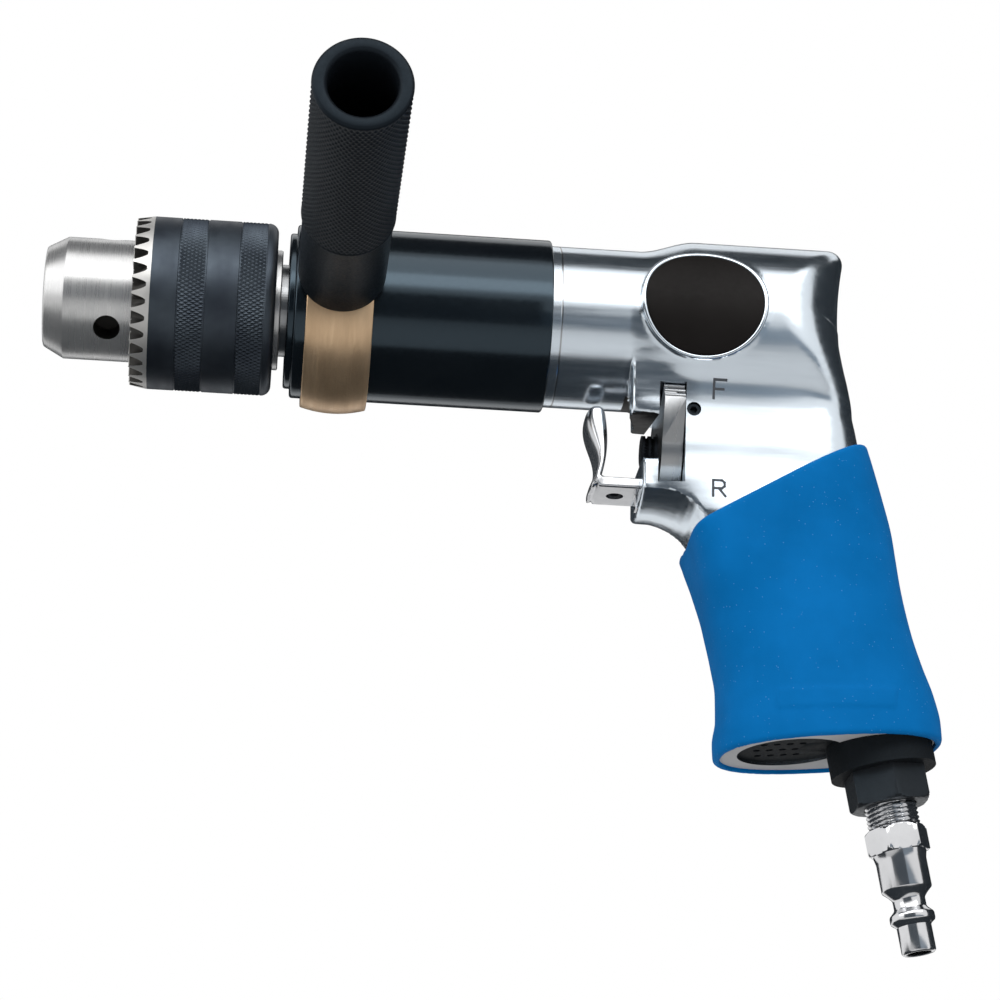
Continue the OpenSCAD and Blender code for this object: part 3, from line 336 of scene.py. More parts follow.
# Tint of the reflections on dark coatings, as the photo's studio gives them
COOL = (0.6, 0.82, 1.0, 1)
WHITE = (1, 1, 1, 1)

# Height of every finish's relief in metres
RELIEF = 0.0002


class Nodes:
    """Short way to write a node tree: each call adds one node and links or sets its inputs."""

    def __init__(self, owner):
        owner.use_nodes = True
        self.tree = owner.node_tree
        self.tree.nodes.clear()

    def wire(self, node, key, value):
        """Links another node's output to an input, or sets the input to a plain value."""
        if isinstance(value, bpy.types.NodeSocket):
            self.tree.links.new(value, node.inputs[key])
        else:
            node.inputs[key].default_value = value

    def add(self, kind, inputs=(), **settings):
        """Adds a node, sets its options and fills its inputs in order or by key."""
        node = self.tree.nodes.new("ShaderNode" + kind)
        for key, value in settings.items():
            setattr(node, key, value)
        for key, value in inputs.items() if isinstance(inputs, dict) else enumerate(inputs):
            self.wire(node, key, value)
        return node

    def math(self, operation, *values):
        """One math node."""
        return self.add("Math", values, operation=operation).outputs[0]


class Finish(Nodes):
    """Material with one shader, textured by object coordinates in metres."""

    def __init__(self, name):
        self.material = bpy.data.materials.new(name)
        super().__init__(self.material)
        self.shader = self.add("BsdfPrincipled")
        self.add("OutputMaterial", [self.shader.outputs[0]])
        self.coords = self.add("TexCoord").outputs["Object"]

    def set(self, **values):
        """Links or sets the shader's own sockets by name."""
        for key, value in values.items():
            self.wire(self.shader, key.replace("_", " "), value)

    def noise(self, scale, detail=3.0, rough=0.55):
        """Noise value between 0 and 1, with one scale for all axes or a scale for each."""
        vector = self.coords
        if isinstance(scale, tuple):
            vector = self.add("Mapping", {"Vector": vector, "Scale": scale}).outputs[0]
            scale = 1.0
        inputs = {"Vector": vector, "Scale": scale, "Detail": detail, "Roughness": rough}
        return self.add("TexNoise", inputs).outputs[0]

    def span(self, value, low, high, to_low=0.0, to_high=1.0):
        """Value mapped from one range to another and clamped."""
        return self.add("MapRange", [value, low, high, to_low, to_high]).outputs[0]

    def mix(self, factor, a, b):
        """Mix of two colours."""
        return self.add("Mix", {0: factor, 6: a, 7: b}, data_type="RGBA").outputs[2]

    def along_x(self):
        """Distance from the chuck's mouth along the spindle, in metres."""
        return self.add("SeparateXYZ", [self.coords]).outputs[0]

    def bump(self, height, strength):
        """Fine relief from a height value."""
        self.set(Normal=self.add("Bump", {"Strength": strength, "Distance": RELIEF, "Height": height}).outputs[0])


def scaled(colour, *factors):
    """Opaque colour whose three values are multiplied by one factor or by one each."""
    return tuple(np.array(colour[:3]) * factors) + (1,)


def metal(name, colour, rough, spread, lines, bump):
    """Worked metal: fine tool lines stretched along one axis, with patches of uneven polish."""
    n = Finish(name)
    grain, cloud = n.noise(lines, 4.0), n.noise(90.0)
    blend = n.math("ADD", n.math("MULTIPLY", grain, 0.6), n.math("MULTIPLY", cloud, 0.4))
    n.set(Metallic=1.0, Roughness=n.span(blend, 0.3, 0.7, rough - spread, rough + spread),
          Base_Color=n.mix(n.span(cloud, 0.3, 0.7), scaled(colour, 0.86), scaled(colour, 1)))
    n.bump(grain, bump)
    return n.material


def coating(name, colour, rough, spread=0.04, grain=2500.0, bump=0.03, ior_level=0.5, speck=None, tint=COOL):
    """Paint, plastic or rubber: an even colour with a fine skin, faint clouding and optional specks."""
    n = Finish(name)
    skin, cloud = n.noise(grain, 2.0), n.noise(45.0)
    light = tuple(min(1, c * 1.12 + 0.002) for c in colour[:3]) + (1,)
    base = n.mix(n.span(cloud, 0.3, 0.7), scaled(colour, 0.9), light)
    if speck:
        scale, radius, tone = speck
        dots = n.add("TexVoronoi", {"Vector": n.coords, "Scale": scale})
        hit = n.math("LESS_THAN", dots.outputs["Distance"], radius)
        rare = n.math("GREATER_THAN", n.noise(scale * 0.35, 0.0), 0.56)
        base = n.mix(n.math("MULTIPLY", hit, rare), base, tone)
    n.set(Specular_IOR_Level=ior_level, Specular_Tint=tint, Base_Color=base,
          Roughness=n.span(skin, 0.3, 0.7, rough - spread, rough + spread))
    n.bump(skin, bump)
    return n.material


def sleeve_finish():
    """Blackened steel that turns to bright ground steel on the toothed rim, by distance along X."""
    n = Finish("blued_sleeve")
    wipe, cloud = n.noise((260, 50, 50), 4.0), n.noise(70.0)
    c = finishes().blued
    blue = n.mix(n.span(cloud, 0.35, 0.7), scaled(c, 0.55, 0.55, 0.6), tuple(c))
    rim = n.math("LESS_THAN", n.along_x(), 0.0281)
    n.set(Metallic=0.86, Base_Color=n.mix(rim, blue, (0.68, 0.67, 0.65, 1)),
          Roughness=n.span(wipe, 0.3, 0.7, 0.4, 0.54))
    n.bump(wipe, 0.04)
    return n.material


def nose_finish():
    """Turned bright steel: fine rings along X, with faint oil stains."""
    n = Finish("turned_steel")
    lines, stain = n.noise((2600, 14, 14)), n.noise(130.0, 4.0)
    n.set(Metallic=0.82, Roughness=n.span(lines, 0.3, 0.7, 0.25, 0.33),
          Base_Color=n.mix(n.span(stain, 0.35, 0.75), (0.56, 0.56, 0.56, 1), (0.67, 0.67, 0.665, 1)))
    n.bump(lines, 0.04)
    return n.material


def brass_finish():
    """Turned brass: rings along X, rubbed paler in streaks along the clamp's edge."""
    n = Finish("turned_brass")
    lines, rub = n.noise((1900, 16, 16)), n.noise((240, 60, 60), 4.0)
    c = finishes().brass
    n.set(Metallic=0.88, Roughness=n.span(lines, 0.3, 0.7, 0.3, 0.46),
          Base_Color=n.mix(n.span(rub, 0.35, 0.7), scaled(c, 0.82, 0.8, 0.78), tuple(c)))
    n.bump(lines, 0.10)
    return n.material


def casting_finish():
    """Hand-polished aluminium: long faint buffing marks along the barrel, and one dark line round its front."""
    n = Finish("polished_casting")
    marks, cloud = n.noise((45, 500, 700), 5.0, 0.6), n.noise(60.0)
    c = finishes().aluminium
    tone = n.mix(n.span(cloud, 0.3, 0.7), scaled(c, 0.95, 0.95, 0.955), tuple(c))
    off = n.math("ABSOLUTE", n.math("SUBTRACT", n.along_x(), (SEAM + 2.5) * MM))
    line = n.span(off, 0.0001, 0.0003, 1, 0)
    n.set(Metallic=1.0, Base_Color=n.mix(line, tone, (0.4, 0.41, 0.42, 1)),
          Roughness=n.span(marks, 0.3, 0.72, 0.15, 0.27))
    n.bump(n.math("SUBTRACT", n.math("MULTIPLY", marks, 0.05), line), 0.3)
    return n.material


MATERIALS = {}


def finish_set():
    """Makes every finish once and keeps it by name."""
    if MATERIALS:
        return MATERIALS
    f = finishes()
    MATERIALS.update(
        casting=casting_finish(),
        black_gloss=coating("gloss_black", tuple(f.black_gloss), 0.17, 0.03, 900.0, 0.008, 0.78),
        blued=sleeve_finish(),
        nose=nose_finish(),
        brass=brass_finish(),
        satin=coating("satin_black", tuple(f.satin), 0.45, 0.06, 1600.0, 0.05, 0.2),
        chrome=metal("bright_plating", (0.8, 0.805, 0.82), 0.15, 0.04, (200, 200, 200), 0.01),
        plating=metal("satin_plating", (0.74, 0.75, 0.77), 0.24, 0.05, (300, 300, 60), 0.02),
        lever=metal("lever_steel", (0.42, 0.43, 0.44), 0.3, 0.06, (900, 80, 80), 0.08),
        inner=metal("machined_steel", (0.5, 0.51, 0.53), 0.3, 0.05, (900, 60, 60), 0.06),
        ground=metal("ground_steel", (0.7, 0.71, 0.73), 0.16, 0.04, (900, 60, 60), 0.03),
        screw=coating("black_screw", (0.012, 0.012, 0.014), 0.45, 0.05, ior_level=0.2),
        rubber=coating("blue_rubber", tuple(f.rubber), 0.66, 0.05, 1400.0, 0.12, 0.08,
                       speck=(900.0, 0.11, (0.10, 0.33, 0.7, 1))),
        badge=coating("badge_enamel", (0.008, 0.0065, 0.006), 0.5, 0.05, 800.0, 0.01, 0.12, tint=WHITE),
        # The bore finish is dark steel used only as painted shade: in the chuck's mouth and key holes, between the
        # sleeve's teeth, and on the casting's boss underside and window walls
        bore=metal("painted_shade_steel", (0.06, 0.058, 0.055), 0.5, 0.08, (300, 300, 300), 0.1),
        plastic=coating("black_moulding", (0.011, 0.013, 0.015), 0.6, 0.06, 1500.0, 0.06, 0.1),
        oxide=coating("black_oxide", (0.016, 0.017, 0.019), 0.36, 0.08, 1300.0, 0.08, 0.5),
        sawn=coating("cast_face", (0.5, 0.5, 0.51), 0.6, 0.08, 1400.0, 0.15, 0.3),
        felt=coating("exhaust_felt", (0.42, 0.37, 0.29), 0.9, 0.05, 1100.0, 0.5, 0.2),
        resin=coating("vane_resin", (0.28, 0.15, 0.07), 0.5),
        mark=coating("stamped_mark", (0.07, 0.07, 0.075), 0.5),
    )
    return MATERIALS


# Nodes of each finish; the rest are plain machined steel
FINISH_NODES = {
    # The spindle collar takes the darker lever steel as painted shade for the gap it sits in between the chuck and
    # the gear housing
    "nose": "chuck_body chuck_jaw_1 chuck_jaw_2 chuck_jaw_3", "lever": "spindle_collar reverse_lever",
    "screw": "chuck_screw trigger_screw spool_set_screw reverse_spool", "brass": "throttle_seat clamp_ring",
    "ground": "throttle_stem throttle_spring spindle_front_bearing spindle_rear_bearing rotor_front_bearing "
              "rotor_rear_bearing output_pins first_pins inlet_screen",
    "resin": "rotor_vanes", "felt": "muffler_felt", "plastic": "exhaust_cap", "oxide": "inlet_bushing",
    "badge": "badge_plate", "plating": "trigger", "chrome": "air_plug", "rubber": "rubber_grip",
    "satin": "handle_tube", "blued": "chuck_sleeve", "black_gloss": "gear_housing", "casting": "motor_housing",
}
NODE_FINISH = {node: finish for finish, nodes in FINISH_NODES.items() for node in nodes.split()}


class DRILL_OT_finishes(bpy.types.Operator):
    """Gives every solid of the drill its finish"""

    bl_idname = "drill.finishes"
    bl_label = "Finishes"

    def execute(self, context):
        made = finish_set()
        for name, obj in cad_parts.items():
            obj.data.materials.clear()
            obj.data.materials.append(made[NODE_FINISH.get(name, "inner")])
        return {"FINISHED"}


# Cast housing


def smooth_min(a, b, k):
    """Lower of two distances with their crease blended over a width k."""
    h = np.clip(0.5 + 0.5 * (b - a) / k, 0, 1)
    return b * (1 - h) + a * h - k * h * (1 - h)


def round_max(a, b, radius):
    """Higher of two distances with the outer edge between them rounded to a radius."""
    a, b = a + radius, b + radius
    return np.minimum(np.maximum(a, b), 0) + np.hypot(np.maximum(a, 0), np.maximum(b, 0)) - radius


def surface_net(field, lo, hi, step, slab=24, reach=0.02):
    """Closed surface where the field is zero: one point in each grid cell that the surface crosses, at the
    mean of its edge crossings, then moved onto the zero level along the field's slope, and one quad round
    each grid edge whose ends differ in sign. The grid is filled slab by slab, and the reach is the distance
    over which the slope is taken."""
    axes = [np.arange(a - 2 * step, b + 3 * step, step) for a, b in zip(lo, hi)]
    start = np.array([a[0] for a in axes])
    value = np.concatenate([field(np.stack(np.meshgrid(axes[0][i:i + slab], *axes[1:], indexing="ij"), -1))
                            for i in range(0, len(axes[0]), slab)])
    n = [s - 1 for s in value.shape]
    total, count = np.zeros(n + [3]), np.zeros(n, np.int8)
    edges = []
    for axis in range(3):
        low = tuple(slice(0, -1) if d == axis else slice(None) for d in range(3))
        high = tuple(slice(1, None) if d == axis else slice(None) for d in range(3))
        a, b = value[low], value[high]
        cross = (a < 0) != (b < 0)
        p, q = [d for d in range(3) if d != axis]
        edges.append((np.argwhere(cross), p, q))
        place = np.where(cross, a / np.where(cross, a - b, 1), 0)
        for i in (0, 1):
            for j in (0, 1):
                pick = [slice(None)] * 3
                pick[p], pick[q] = slice(i, n[p] + i), slice(j, n[q] + j)
                hit = cross[tuple(pick)]
                count += hit
                total[..., axis] += place[tuple(pick)]
                total[..., p] += i * hit
                total[..., q] += j * hit
    cells = np.argwhere(count > 0)
    spot = tuple(cells.T)
    index = np.full(n, -1)
    index[spot] = np.arange(len(cells))
    points = start + (cells + total[spot] / count[spot][:, None]) * step
    quads = []
    for edge, p, q in edges:
        corner = []
        for i, j in ((1, 1), (0, 1), (0, 0), (1, 0)):
            c = edge.copy()
            c[:, p] -= i
            c[:, q] -= j
            corner.append(index[tuple(c.T)])
        quads.append(np.stack(corner, -1))
    for _ in range(4):
        d = field(points)
        rise = [field(points + reach * e) - field(points - reach * e) for e in np.eye(3)]
        slope = np.stack(rise, -1) / (2 * reach)
        move = slope * (d / np.maximum((slope ** 2).sum(-1), 1e-6))[:, None]
        points = points - np.clip(move, -0.4 * step, 0.4 * step)
    return points, np.concatenate(quads)


def loft_table(levels):
    """Heights every 0.2 mm, and the four values of the section there on smooth curves through the levels."""
    table = np.asarray(levels, float)
    heights = np.arange(table[-1, 0], table[0, 0] + 0.1, 0.2)
    within = np.minimum(heights, table[0, 0])
    return heights, [curve_through(within, table[:, 0], column) for column in table.T[1:]]


def inset(levels, wall, power):
    """Sections of a loft drawn in by a wall on all sides."""
    return [(z, front + wall, rear - wall, half - wall, power) for z, front, rear, half, _ in levels]


# Sections in millimetres: height, front and rear from the seam, half width, and power of the front half
GRIP_LEVELS = [
    (-26, 36.5, 85, 19, 9), (-36, 36.5, 88, 19, 9), (-46, 36.5, 90.7, 19, 9), (-56, 37.5, 93.1, 19, 9),
    (-63, 39.1, 94.1, 19, 6), (-71, 41, 95.3, 18.8, 3.8), (-83, 43.5, 97.9, 18.8, 2.4),
    (-92, 45.5, 100.7, 19, 2.4), (-100, 46.8, 103.6, 19.4, 2.4), (-107, 46.9, 105.2, 19.8, 2.4),
    (-113, 46.1, 105.5, 20, 2.4), (-120, 46.5, 104.5, 19.6, 2.4),
]
CASTING_LEVELS = [
    (-4, 14, 77, 22.8, 6), (-9, 14, 78.4, 22.2, 6), (-12.5, 14, 79.4, 21.2, 6), (-16, 14, 80.5, 19.7, 6),
    (-21, 15, 81.6, 17.5, 6), (-26, 18, 82.7, 16.4, 6), (-31, 20.3, 83.8, 16.2, 5), (-36, 20.3, 84.9, 16.2, 4),
    (-41, 20.3, 86.2, 16, 4), (-46, 21, 87.5, 16, 4), (-51, 24.7, 88.7, 16, 4), (-55, 27.5, 89.7, 16, 4),
    (-57, 32.1, 90.1, 16, 4), (-59.5, 36.5, 90.5, 16, 3),
] + inset(GRIP_LEVELS[4:9], 3, 2.3) + inset(GRIP_LEVELS[9:], 1.8, 2.4)
GRIP_LOFT, CASTING_LOFT = loft_table(GRIP_LEVELS), loft_table(CASTING_LEVELS)


def loft_distance(u, y, z, loft, power, grow=0.0, narrow=1.0):
    """Distance to a loft: F is the p-th root of |x|^p + |y|^p with x and y scaled by half the length and
    half the width of the section at that height; the distance is F less one over F's slope. The front half of
    a section takes its p from the level's fifth value. Grow widens the section all round, and narrow scales
    its half width."""
    heights, columns = loft
    front, rear, half, square = (np.interp(z, heights, values) for values in columns)
    a, b = (rear - front) / 2 + grow, half * narrow + grow
    x, w = np.abs(u - (front + rear) / 2) / a, np.abs(y) / b
    power = np.where(u < (front + rear) / 2, square, power)
    f = np.maximum(x ** power + w ** power, 1e-9) ** (1 / power)
    slope = np.hypot((x / f) ** (power - 1) / a, (w / f) ** (power - 1) / b)
    return (f - 1) / np.maximum(slope, 0.02)


def oval_distance(u, y, z, grow):
    """Rough distance to the badge's oval, which is an ellipse unrolled round the barrel, grown by a rim."""
    a, b = BADGE_A + grow, BADGE_B + grow
    x, w = (u - BADGE_U) / a, (BADGE_R * np.arctan2(z, -y) - BADGE_V) / b
    oval = np.sqrt(np.maximum(x * x + w * w, 1e-9))
    return (oval - 1) * oval / np.maximum(np.hypot(x / a, w / b), 1e-3)


# Underside of the horn behind the trigger, along X from the seam
HORN_U = [24, 30.4, 33, 35.3, 37.3, 38.9, 40.5, 43, 45, 46]
HORN_Z = [-49.7, -49.8, -50.4, -51.3, -52.4, -53.7, -55.6, -59, -62, -130]
HORN_HALF = 14.3

# Share of the handle's width that is left in front of the barrel's flare, by height
CHEEK_Z = [-31, -26, -21, -16, -12, -9, -4]
CHEEK = [1.0, 0.994, 0.949, 0.888, 0.887, 0.905, 0.939]


def bare_casting(p):
    """Distance to the polished casting without its badge pad: a barrel with a flare and a saddle at the back,
    the handle with the trigger's window taken out of it, and the horn behind the trigger, all blended."""
    u, y, z = p[..., 0] - SEAM, p[..., 1], p[..., 2]
    plan = 20.8 - 0.8 * np.sqrt(np.maximum(26 ** 2 - y * y, 0))
    back = 105 + plan - np.hypot(u - 184, z - 3)
    body = round_max(np.hypot(y, z) - 21.7 - 3.3 * ease(u, 24.1, 39.1), back, 4.0)
    cheek = np.interp(z, CHEEK_Z, CHEEK)
    cheek = cheek + (1 - cheek) * ease(u, 23, 40)
    rear = np.interp(z, [-50, -28], [2.3, 3.6])
    handle = np.maximum(loft_distance(u, y, np.minimum(z, -4), CASTING_LOFT, rear, 0.0, cheek), z + 2)
    under = np.interp(u, HORN_U, HORN_Z) - 2.2 * np.maximum(1 - (y / HORN_HALF) ** 2, 0)
    block = np.maximum(np.abs(y) - HORN_HALF, np.maximum(np.abs(u - 33.5) - 9.5, np.maximum(z + 38, -60 - z)))
    handle = round_max(smooth_min(handle, block, 0.6), 0.75 * (under - z), 0.5)
    slope = math.radians(11.3)
    boss = (z + 26.5) * math.cos(slope) - y * math.sin(slope)
    edge = 21.8 + 3.6 * ease(y, -14, 14)
    window = np.minimum(np.maximum(u - edge, -52.4 - z), np.maximum(np.maximum(u - 30.1, boss), -41 - z))
    window = np.minimum(window, np.maximum(u - 25.2, np.abs(z + 44.2) - 8.2))
    handle = round_max(handle, -window, 1.3)
    return smooth_min(body, handle, np.interp(u, [23, 40], [1.6, 2.8]))


def casting_field(p):
    """Distance to the polished casting: the bare casting with an oval seat for the badge, ended in front of
    the seam and at the foot."""
    u, y, z = p[..., 0] - SEAM, p[..., 1], p[..., 2]
    rise, oval = np.hypot(y, z) - 25.25, np.maximum(oval_distance(u, y, z, 0.7), y + 2)
    pad = smooth_min(bare_casting(p), round_max(rise, oval, 0.6), 1.8)
    body = round_max(pad, -np.maximum(oval, -rise), 0.3)
    return np.maximum(body, np.maximum(CAST_FRONT - u, CAST_FOOT - z))


class DRILL_OT_casting(bpy.types.Operator):
    """Makes the polished motor housing with its cast handle: the zero level of its distance field, less its
    bores, its slots and what lies past its front and its rim"""

    bl_idname = "drill.casting"
    bl_label = "Cast housing"

    def execute(self, context):
        lo, hi = (SEAM + CAST_FRONT, -26, CAST_FOOT), (SEAM + 106, 26, 26)
        obj = mesh_object("cast_housing", surface_net(casting_field, lo, hi, sizes().casting_voxel / MM), "casting")
        front = box_part((SEAM - 10, -30, -30), (SEAM, 30, 30))
        points, faces = box_part((-100, -50, -98), (100, 50, 1.0))
        slot = box_part((SEAM + 29.1, -40, SPOOL_Z - 13.6), (SEAM + 36.1, 40, SPOOL_Z + 13.6))
        cut(obj, front, (in_rim(points), faces), slot)
        bore = rod_part((SEAM - 5, 0, 0), (SEAM + 70.6, 0, 0), 19, 96)
        spool = rod_part((SEAM + 29, 0, SPOOL_Z), (SEAM + 56, 0, SPOOL_Z), 5.05)
        arm = box_part((SEAM + 24.2, -7.7, -47.7), (SEAM + 30.9, 7.7, -44.3))
        collar = rod_part(in_inlet((-4, 0, 0)), in_inlet((36, 0, 0)), 13.85, 96)
        screw = rod_part((SEAM + 38.2, -30, -27.7), (SEAM + 38.2, -12, -27.7), 1.9)
        cut(obj, bore, spool, arm, collar, screw)
        heel = box_part((SEAM + 24.2, -2.3, -51.4), (SEAM + 30.9, 2.3, -46))
        a = np.linspace(0, TAU, 96, endpoint=False)
        oval = np.stack([-5 + 14.05 * np.cos(a), 12.85 * np.sin(a), 0 * a], -1)
        cap = grid_piece(in_rim(np.stack([oval + (0, 0, 0.5), oval + (0, 0, 12.7)])))
        cut(obj, heel, cap)
        mid, out = face_table(obj.data)
        u, z = mid[:, 0] - SEAM, mid[:, 2]
        # Painted shade: the underside of the boss and the front-facing walls in the trigger's window get the dark
        # bore finish
        boss = (out[:, 2] < -0.75) & between(u, 21, 31) & between(z, -31, -21)
        wall = (out[:, 0] < -0.6) & between(u, 28, 31.5) & between(z, -43, -22)
        paint(obj.data, boss | wall, "bore")
        paint(obj.data, (out[:, 2] < -0.9) & (z < -105), "sawn")
        shade(obj.data, 32)
        settle(obj, "housing", "polished_aluminium", "motor_housing")
        return {"FINISHED"}


# Gear housing, clamp ring and side handle


class DRILL_OT_gear_housing(bpy.types.Operator):
    """Makes the gloss black gear housing: an outline of radius against X with rounded corners, turned about the
    spindle's axis"""

    bl_idname = "drill.gear_housing"
    bl_label = "Gear housing"

    def execute(self, context):
        outline = [(12.6, 64.0), (20.75, 64.0), (20.75, 65.8), (23.15, 65.8), (23.15, SEAM), (20.0, SEAM),
                   (20.0, 104.5), (17.5, 104.5), (17.5, 70.0), (12.6, 70.0)]
        profile = rounded(outline, [0.3, 0.9, 0.3, 0.9, 0.6, 0.1, 0.1, 0.1, 0.1, 0.1])
        profile = resampled(np.vstack([profile, profile[:1]]), 4.0)[:-1]
        obj = mesh_object("gear_case", grid_piece(around_x(profile, 192), wrap_rows=True), "black_gloss", 40)
        settle(obj, "housing", "gloss_black", "gear_housing")
        return {"FINISHED"}


class DRILL_OT_clamp_ring(bpy.types.Operator):
    """Makes the crowned brass clamp ring of the side handle: its radius falls with the square of the distance
    from its middle, turned about the spindle's axis"""

    bl_idname = "drill.clamp_ring"
    bl_label = "Clamp ring"

    def execute(self, context):
        inner, half = 23.2, 8.75
        t = np.linspace(-1, 1, 33)
        crown = np.stack([26.7 - 1.3 * t * t, HANDLE_X + half * t], -1)
        outline = np.vstack([crown, [(inner, HANDLE_X + half), (inner, HANDLE_X - half)]])
        radius = np.zeros(len(outline))
        radius[[0, 32, 33, 34]] = 0.35
        profile = rounded(outline, radius, 4)
        obj = mesh_object("clamp_band", grid_piece(around_x(profile, 192), wrap_rows=True), "brass", 40)
        settle(obj, "side_handle", "brass", "clamp_ring")
        return {"FINISHED"}


def zigzag(t):
    """Wave that runs from 0 to 1 and back once for each whole step."""
    return 1 - np.abs(2 * (t - np.floor(t)) - 1)


def knurl(turns, travel, count, lead, depth):
    """Depth taken off by two crossed sets of V grooves: each set is a zigzag of the angle plus or minus the
    travel, and the deeper groove wins, so that pyramids stand between the grooves."""
    ridge = np.minimum(zigzag(count * turns + travel / lead), zigzag(count * turns - travel / lead))
    return depth * (1 - np.minimum(1.25 * ridge, 1))


class DRILL_OT_handle(bpy.types.Operator):
    """Makes the side handle with its open end: a profile of radius against length, turned about the handle's
    axis, less the knurl's depth on the grip"""

    bl_idname = "drill.handle"
    bl_label = "Side handle"

    def execute(self, context):
        count, depth = sizes().knurl_count, sizes().knurl_depth / MM
        lead, first, last = 2.4, 64.3, 133.7
        a = np.radians(np.linspace(0, 90, 7))
        base = np.stack([9.45 + 2 * np.sin(a), 26.8 + 2 * (1 - np.cos(a))], -1)
        band = np.arange(64.6, 133.5, lead / 8)
        profile = np.vstack([
            [(0, 26.8), (6, 26.8)], base, [(11.45, 45), (11.45, 63.2), (11.6, 63.6), (11.9, 64.2)],
            [(11.9, s) for s in band],
            [(11.9, 133.8), (11.7, 134.2), (11.3, 134.5), (11.0, 134.6), (9.3, 134.6), (9.0, 134.5),
             (8.5, 134.0), (8.3, 133.6), (8.3, 90), (8.3, 53.15), (0, 53.15)]])
        turns = np.arange(count * 6) / (count * 6)
        r, s = profile[:, :1], profile[:, 1:]
        edge = np.clip((s - first) / 0.5, 0, 1) * np.clip((last - s) / 0.5, 0, 1)
        grooves = edge * knurl(turns, s - band[0], count, lead, depth)
        r = r - np.where((r > 11.85) & between(s, first, last), grooves, 0)
        along, x, z = np.moveaxis(rings(s, r, turns), -1, 0)
        points = np.stack([HANDLE_X + x, -along, z], -1)
        obj = mesh_object("knurled_handle", grid_piece(points, caps=False), "satin", 50)
        settle(obj, "side_handle", "satin_black", "handle_tube")
        return {"FINISHED"}


# Chuck


def rim_radius(x):
    """Outer radius of the sleeve's toothed rim, which widens evenly from the tips of the teeth."""
    return np.interp(x, [TOOTH_TIP, TOOTH_TIP + 4.6], [22.2, 23.0])


class DRILL_OT_chuck_sleeve(bpy.types.Operator):
    """Makes the chuck's sleeve: a profile of radius against X turned about the spindle's axis, whose front sinks
    between the bevel teeth by a power of the angle from each gap's middle, with two knurled bands"""

    bl_idname = "drill.chuck_sleeve"
    bl_label = "Chuck sleeve"

    def execute(self, context):
        s = sizes()
        bore, outer, shoulder = 16.25, 23.0, 29.6
        cols = s.tooth_count * 24
        turns = np.arange(cols) / cols
        across = np.abs((turns * s.tooth_count + 0.5) % 1 - 0.5)
        gap = 3.8 * (1 - np.clip((across - 0.09) / 0.34, 0, 1) ** 1.5)
        radius = bore + np.linspace(0, 1, 17)[:, None] * (rim_radius(TOOTH_TIP + gap) - bore)
        front_x = TOOTH_TIP + gap * np.interp(radius, [bore, 17.6, 22.0], [0, 0.3, 1])
        front = np.stack([front_x, radius], -1)
        sides = np.array([0.2, 0.45, 0.7, 0.85])[:, None] * (shoulder - front_x[-1]) + front_x[-1]
        sides = np.stack([sides, rim_radius(sides)], -1)
        a = np.radians(np.linspace(0, 90, 8))
        bands = [np.arange(35.5, 42.01, 0.25), np.arange(51.3, 57.81, 0.25)]
        rest = np.vstack([
            [(shoulder, outer), (32.5, outer), (35.0, outer), (35.15, 22.8), (35.35, 22.8)],
            [(x, outer) for x in bands[0]],
            [(42.2, 22.8), (42.4, 22.8), (42.55, outer), (46.5, outer), (50.8, outer), (50.95, 22.8), (51.15, 22.8)],
            [(x, outer) for x in bands[1]],
            [(58.0, 22.85)], np.stack([58.2 + 2.6 * np.sin(a), 20.4 + 2.6 * np.cos(a)], -1),
            [(60.8, 18), (60.8, 16.05), (58.8, 16.05), (58.8, 18.6), (45, 18.6), (29.0, 18.6), (29.0, bore)]])
        x, r = rest[:, :1] + 0 * turns, rest[:, 1:] + 0 * turns
        for band in bands:
            on = between(x, band[0] - 1e-6, band[-1] + 1e-6) & (r > outer - 0.05)
            r = np.where(on, r - knurl(turns, x - band[0], s.tooth_count * 4, 2.0, s.band_depth / MM), r)
        grid = np.concatenate([front, sides, np.stack([x, r], -1)])
        points = rings(grid[..., 0], -grid[..., 1], turns)
        obj = mesh_object("toothed_sleeve", grid_piece(points, wrap_rows=True), "blued", 40)
        # Painted shade: the floors between the bevel teeth and the front face near the bore get the dark bore finish
        mid, _ = face_table(obj.data)
        x, r = mid[:, 0], np.hypot(mid[:, 1], mid[:, 2])
        tooth_gap_shade = (r < rim_radius(x) - 0.12) & (x < 27.3) & ((x > 23.5) | (r < 17.5))
        paint(obj.data, tooth_gap_shade, "bore")
        settle(obj, "chuck_sleeve", "blued_steel", "chuck_sleeve")
        return {"FINISHED"}


def spokes(first):
    """Three directions out from the spindle's axis, a third of a turn apart, from a first angle in degrees."""
    angles = [math.radians(first + 120 * i) for i in range(3)]
    return [np.array([0, -math.cos(a), -math.sin(a)]) for a in angles]


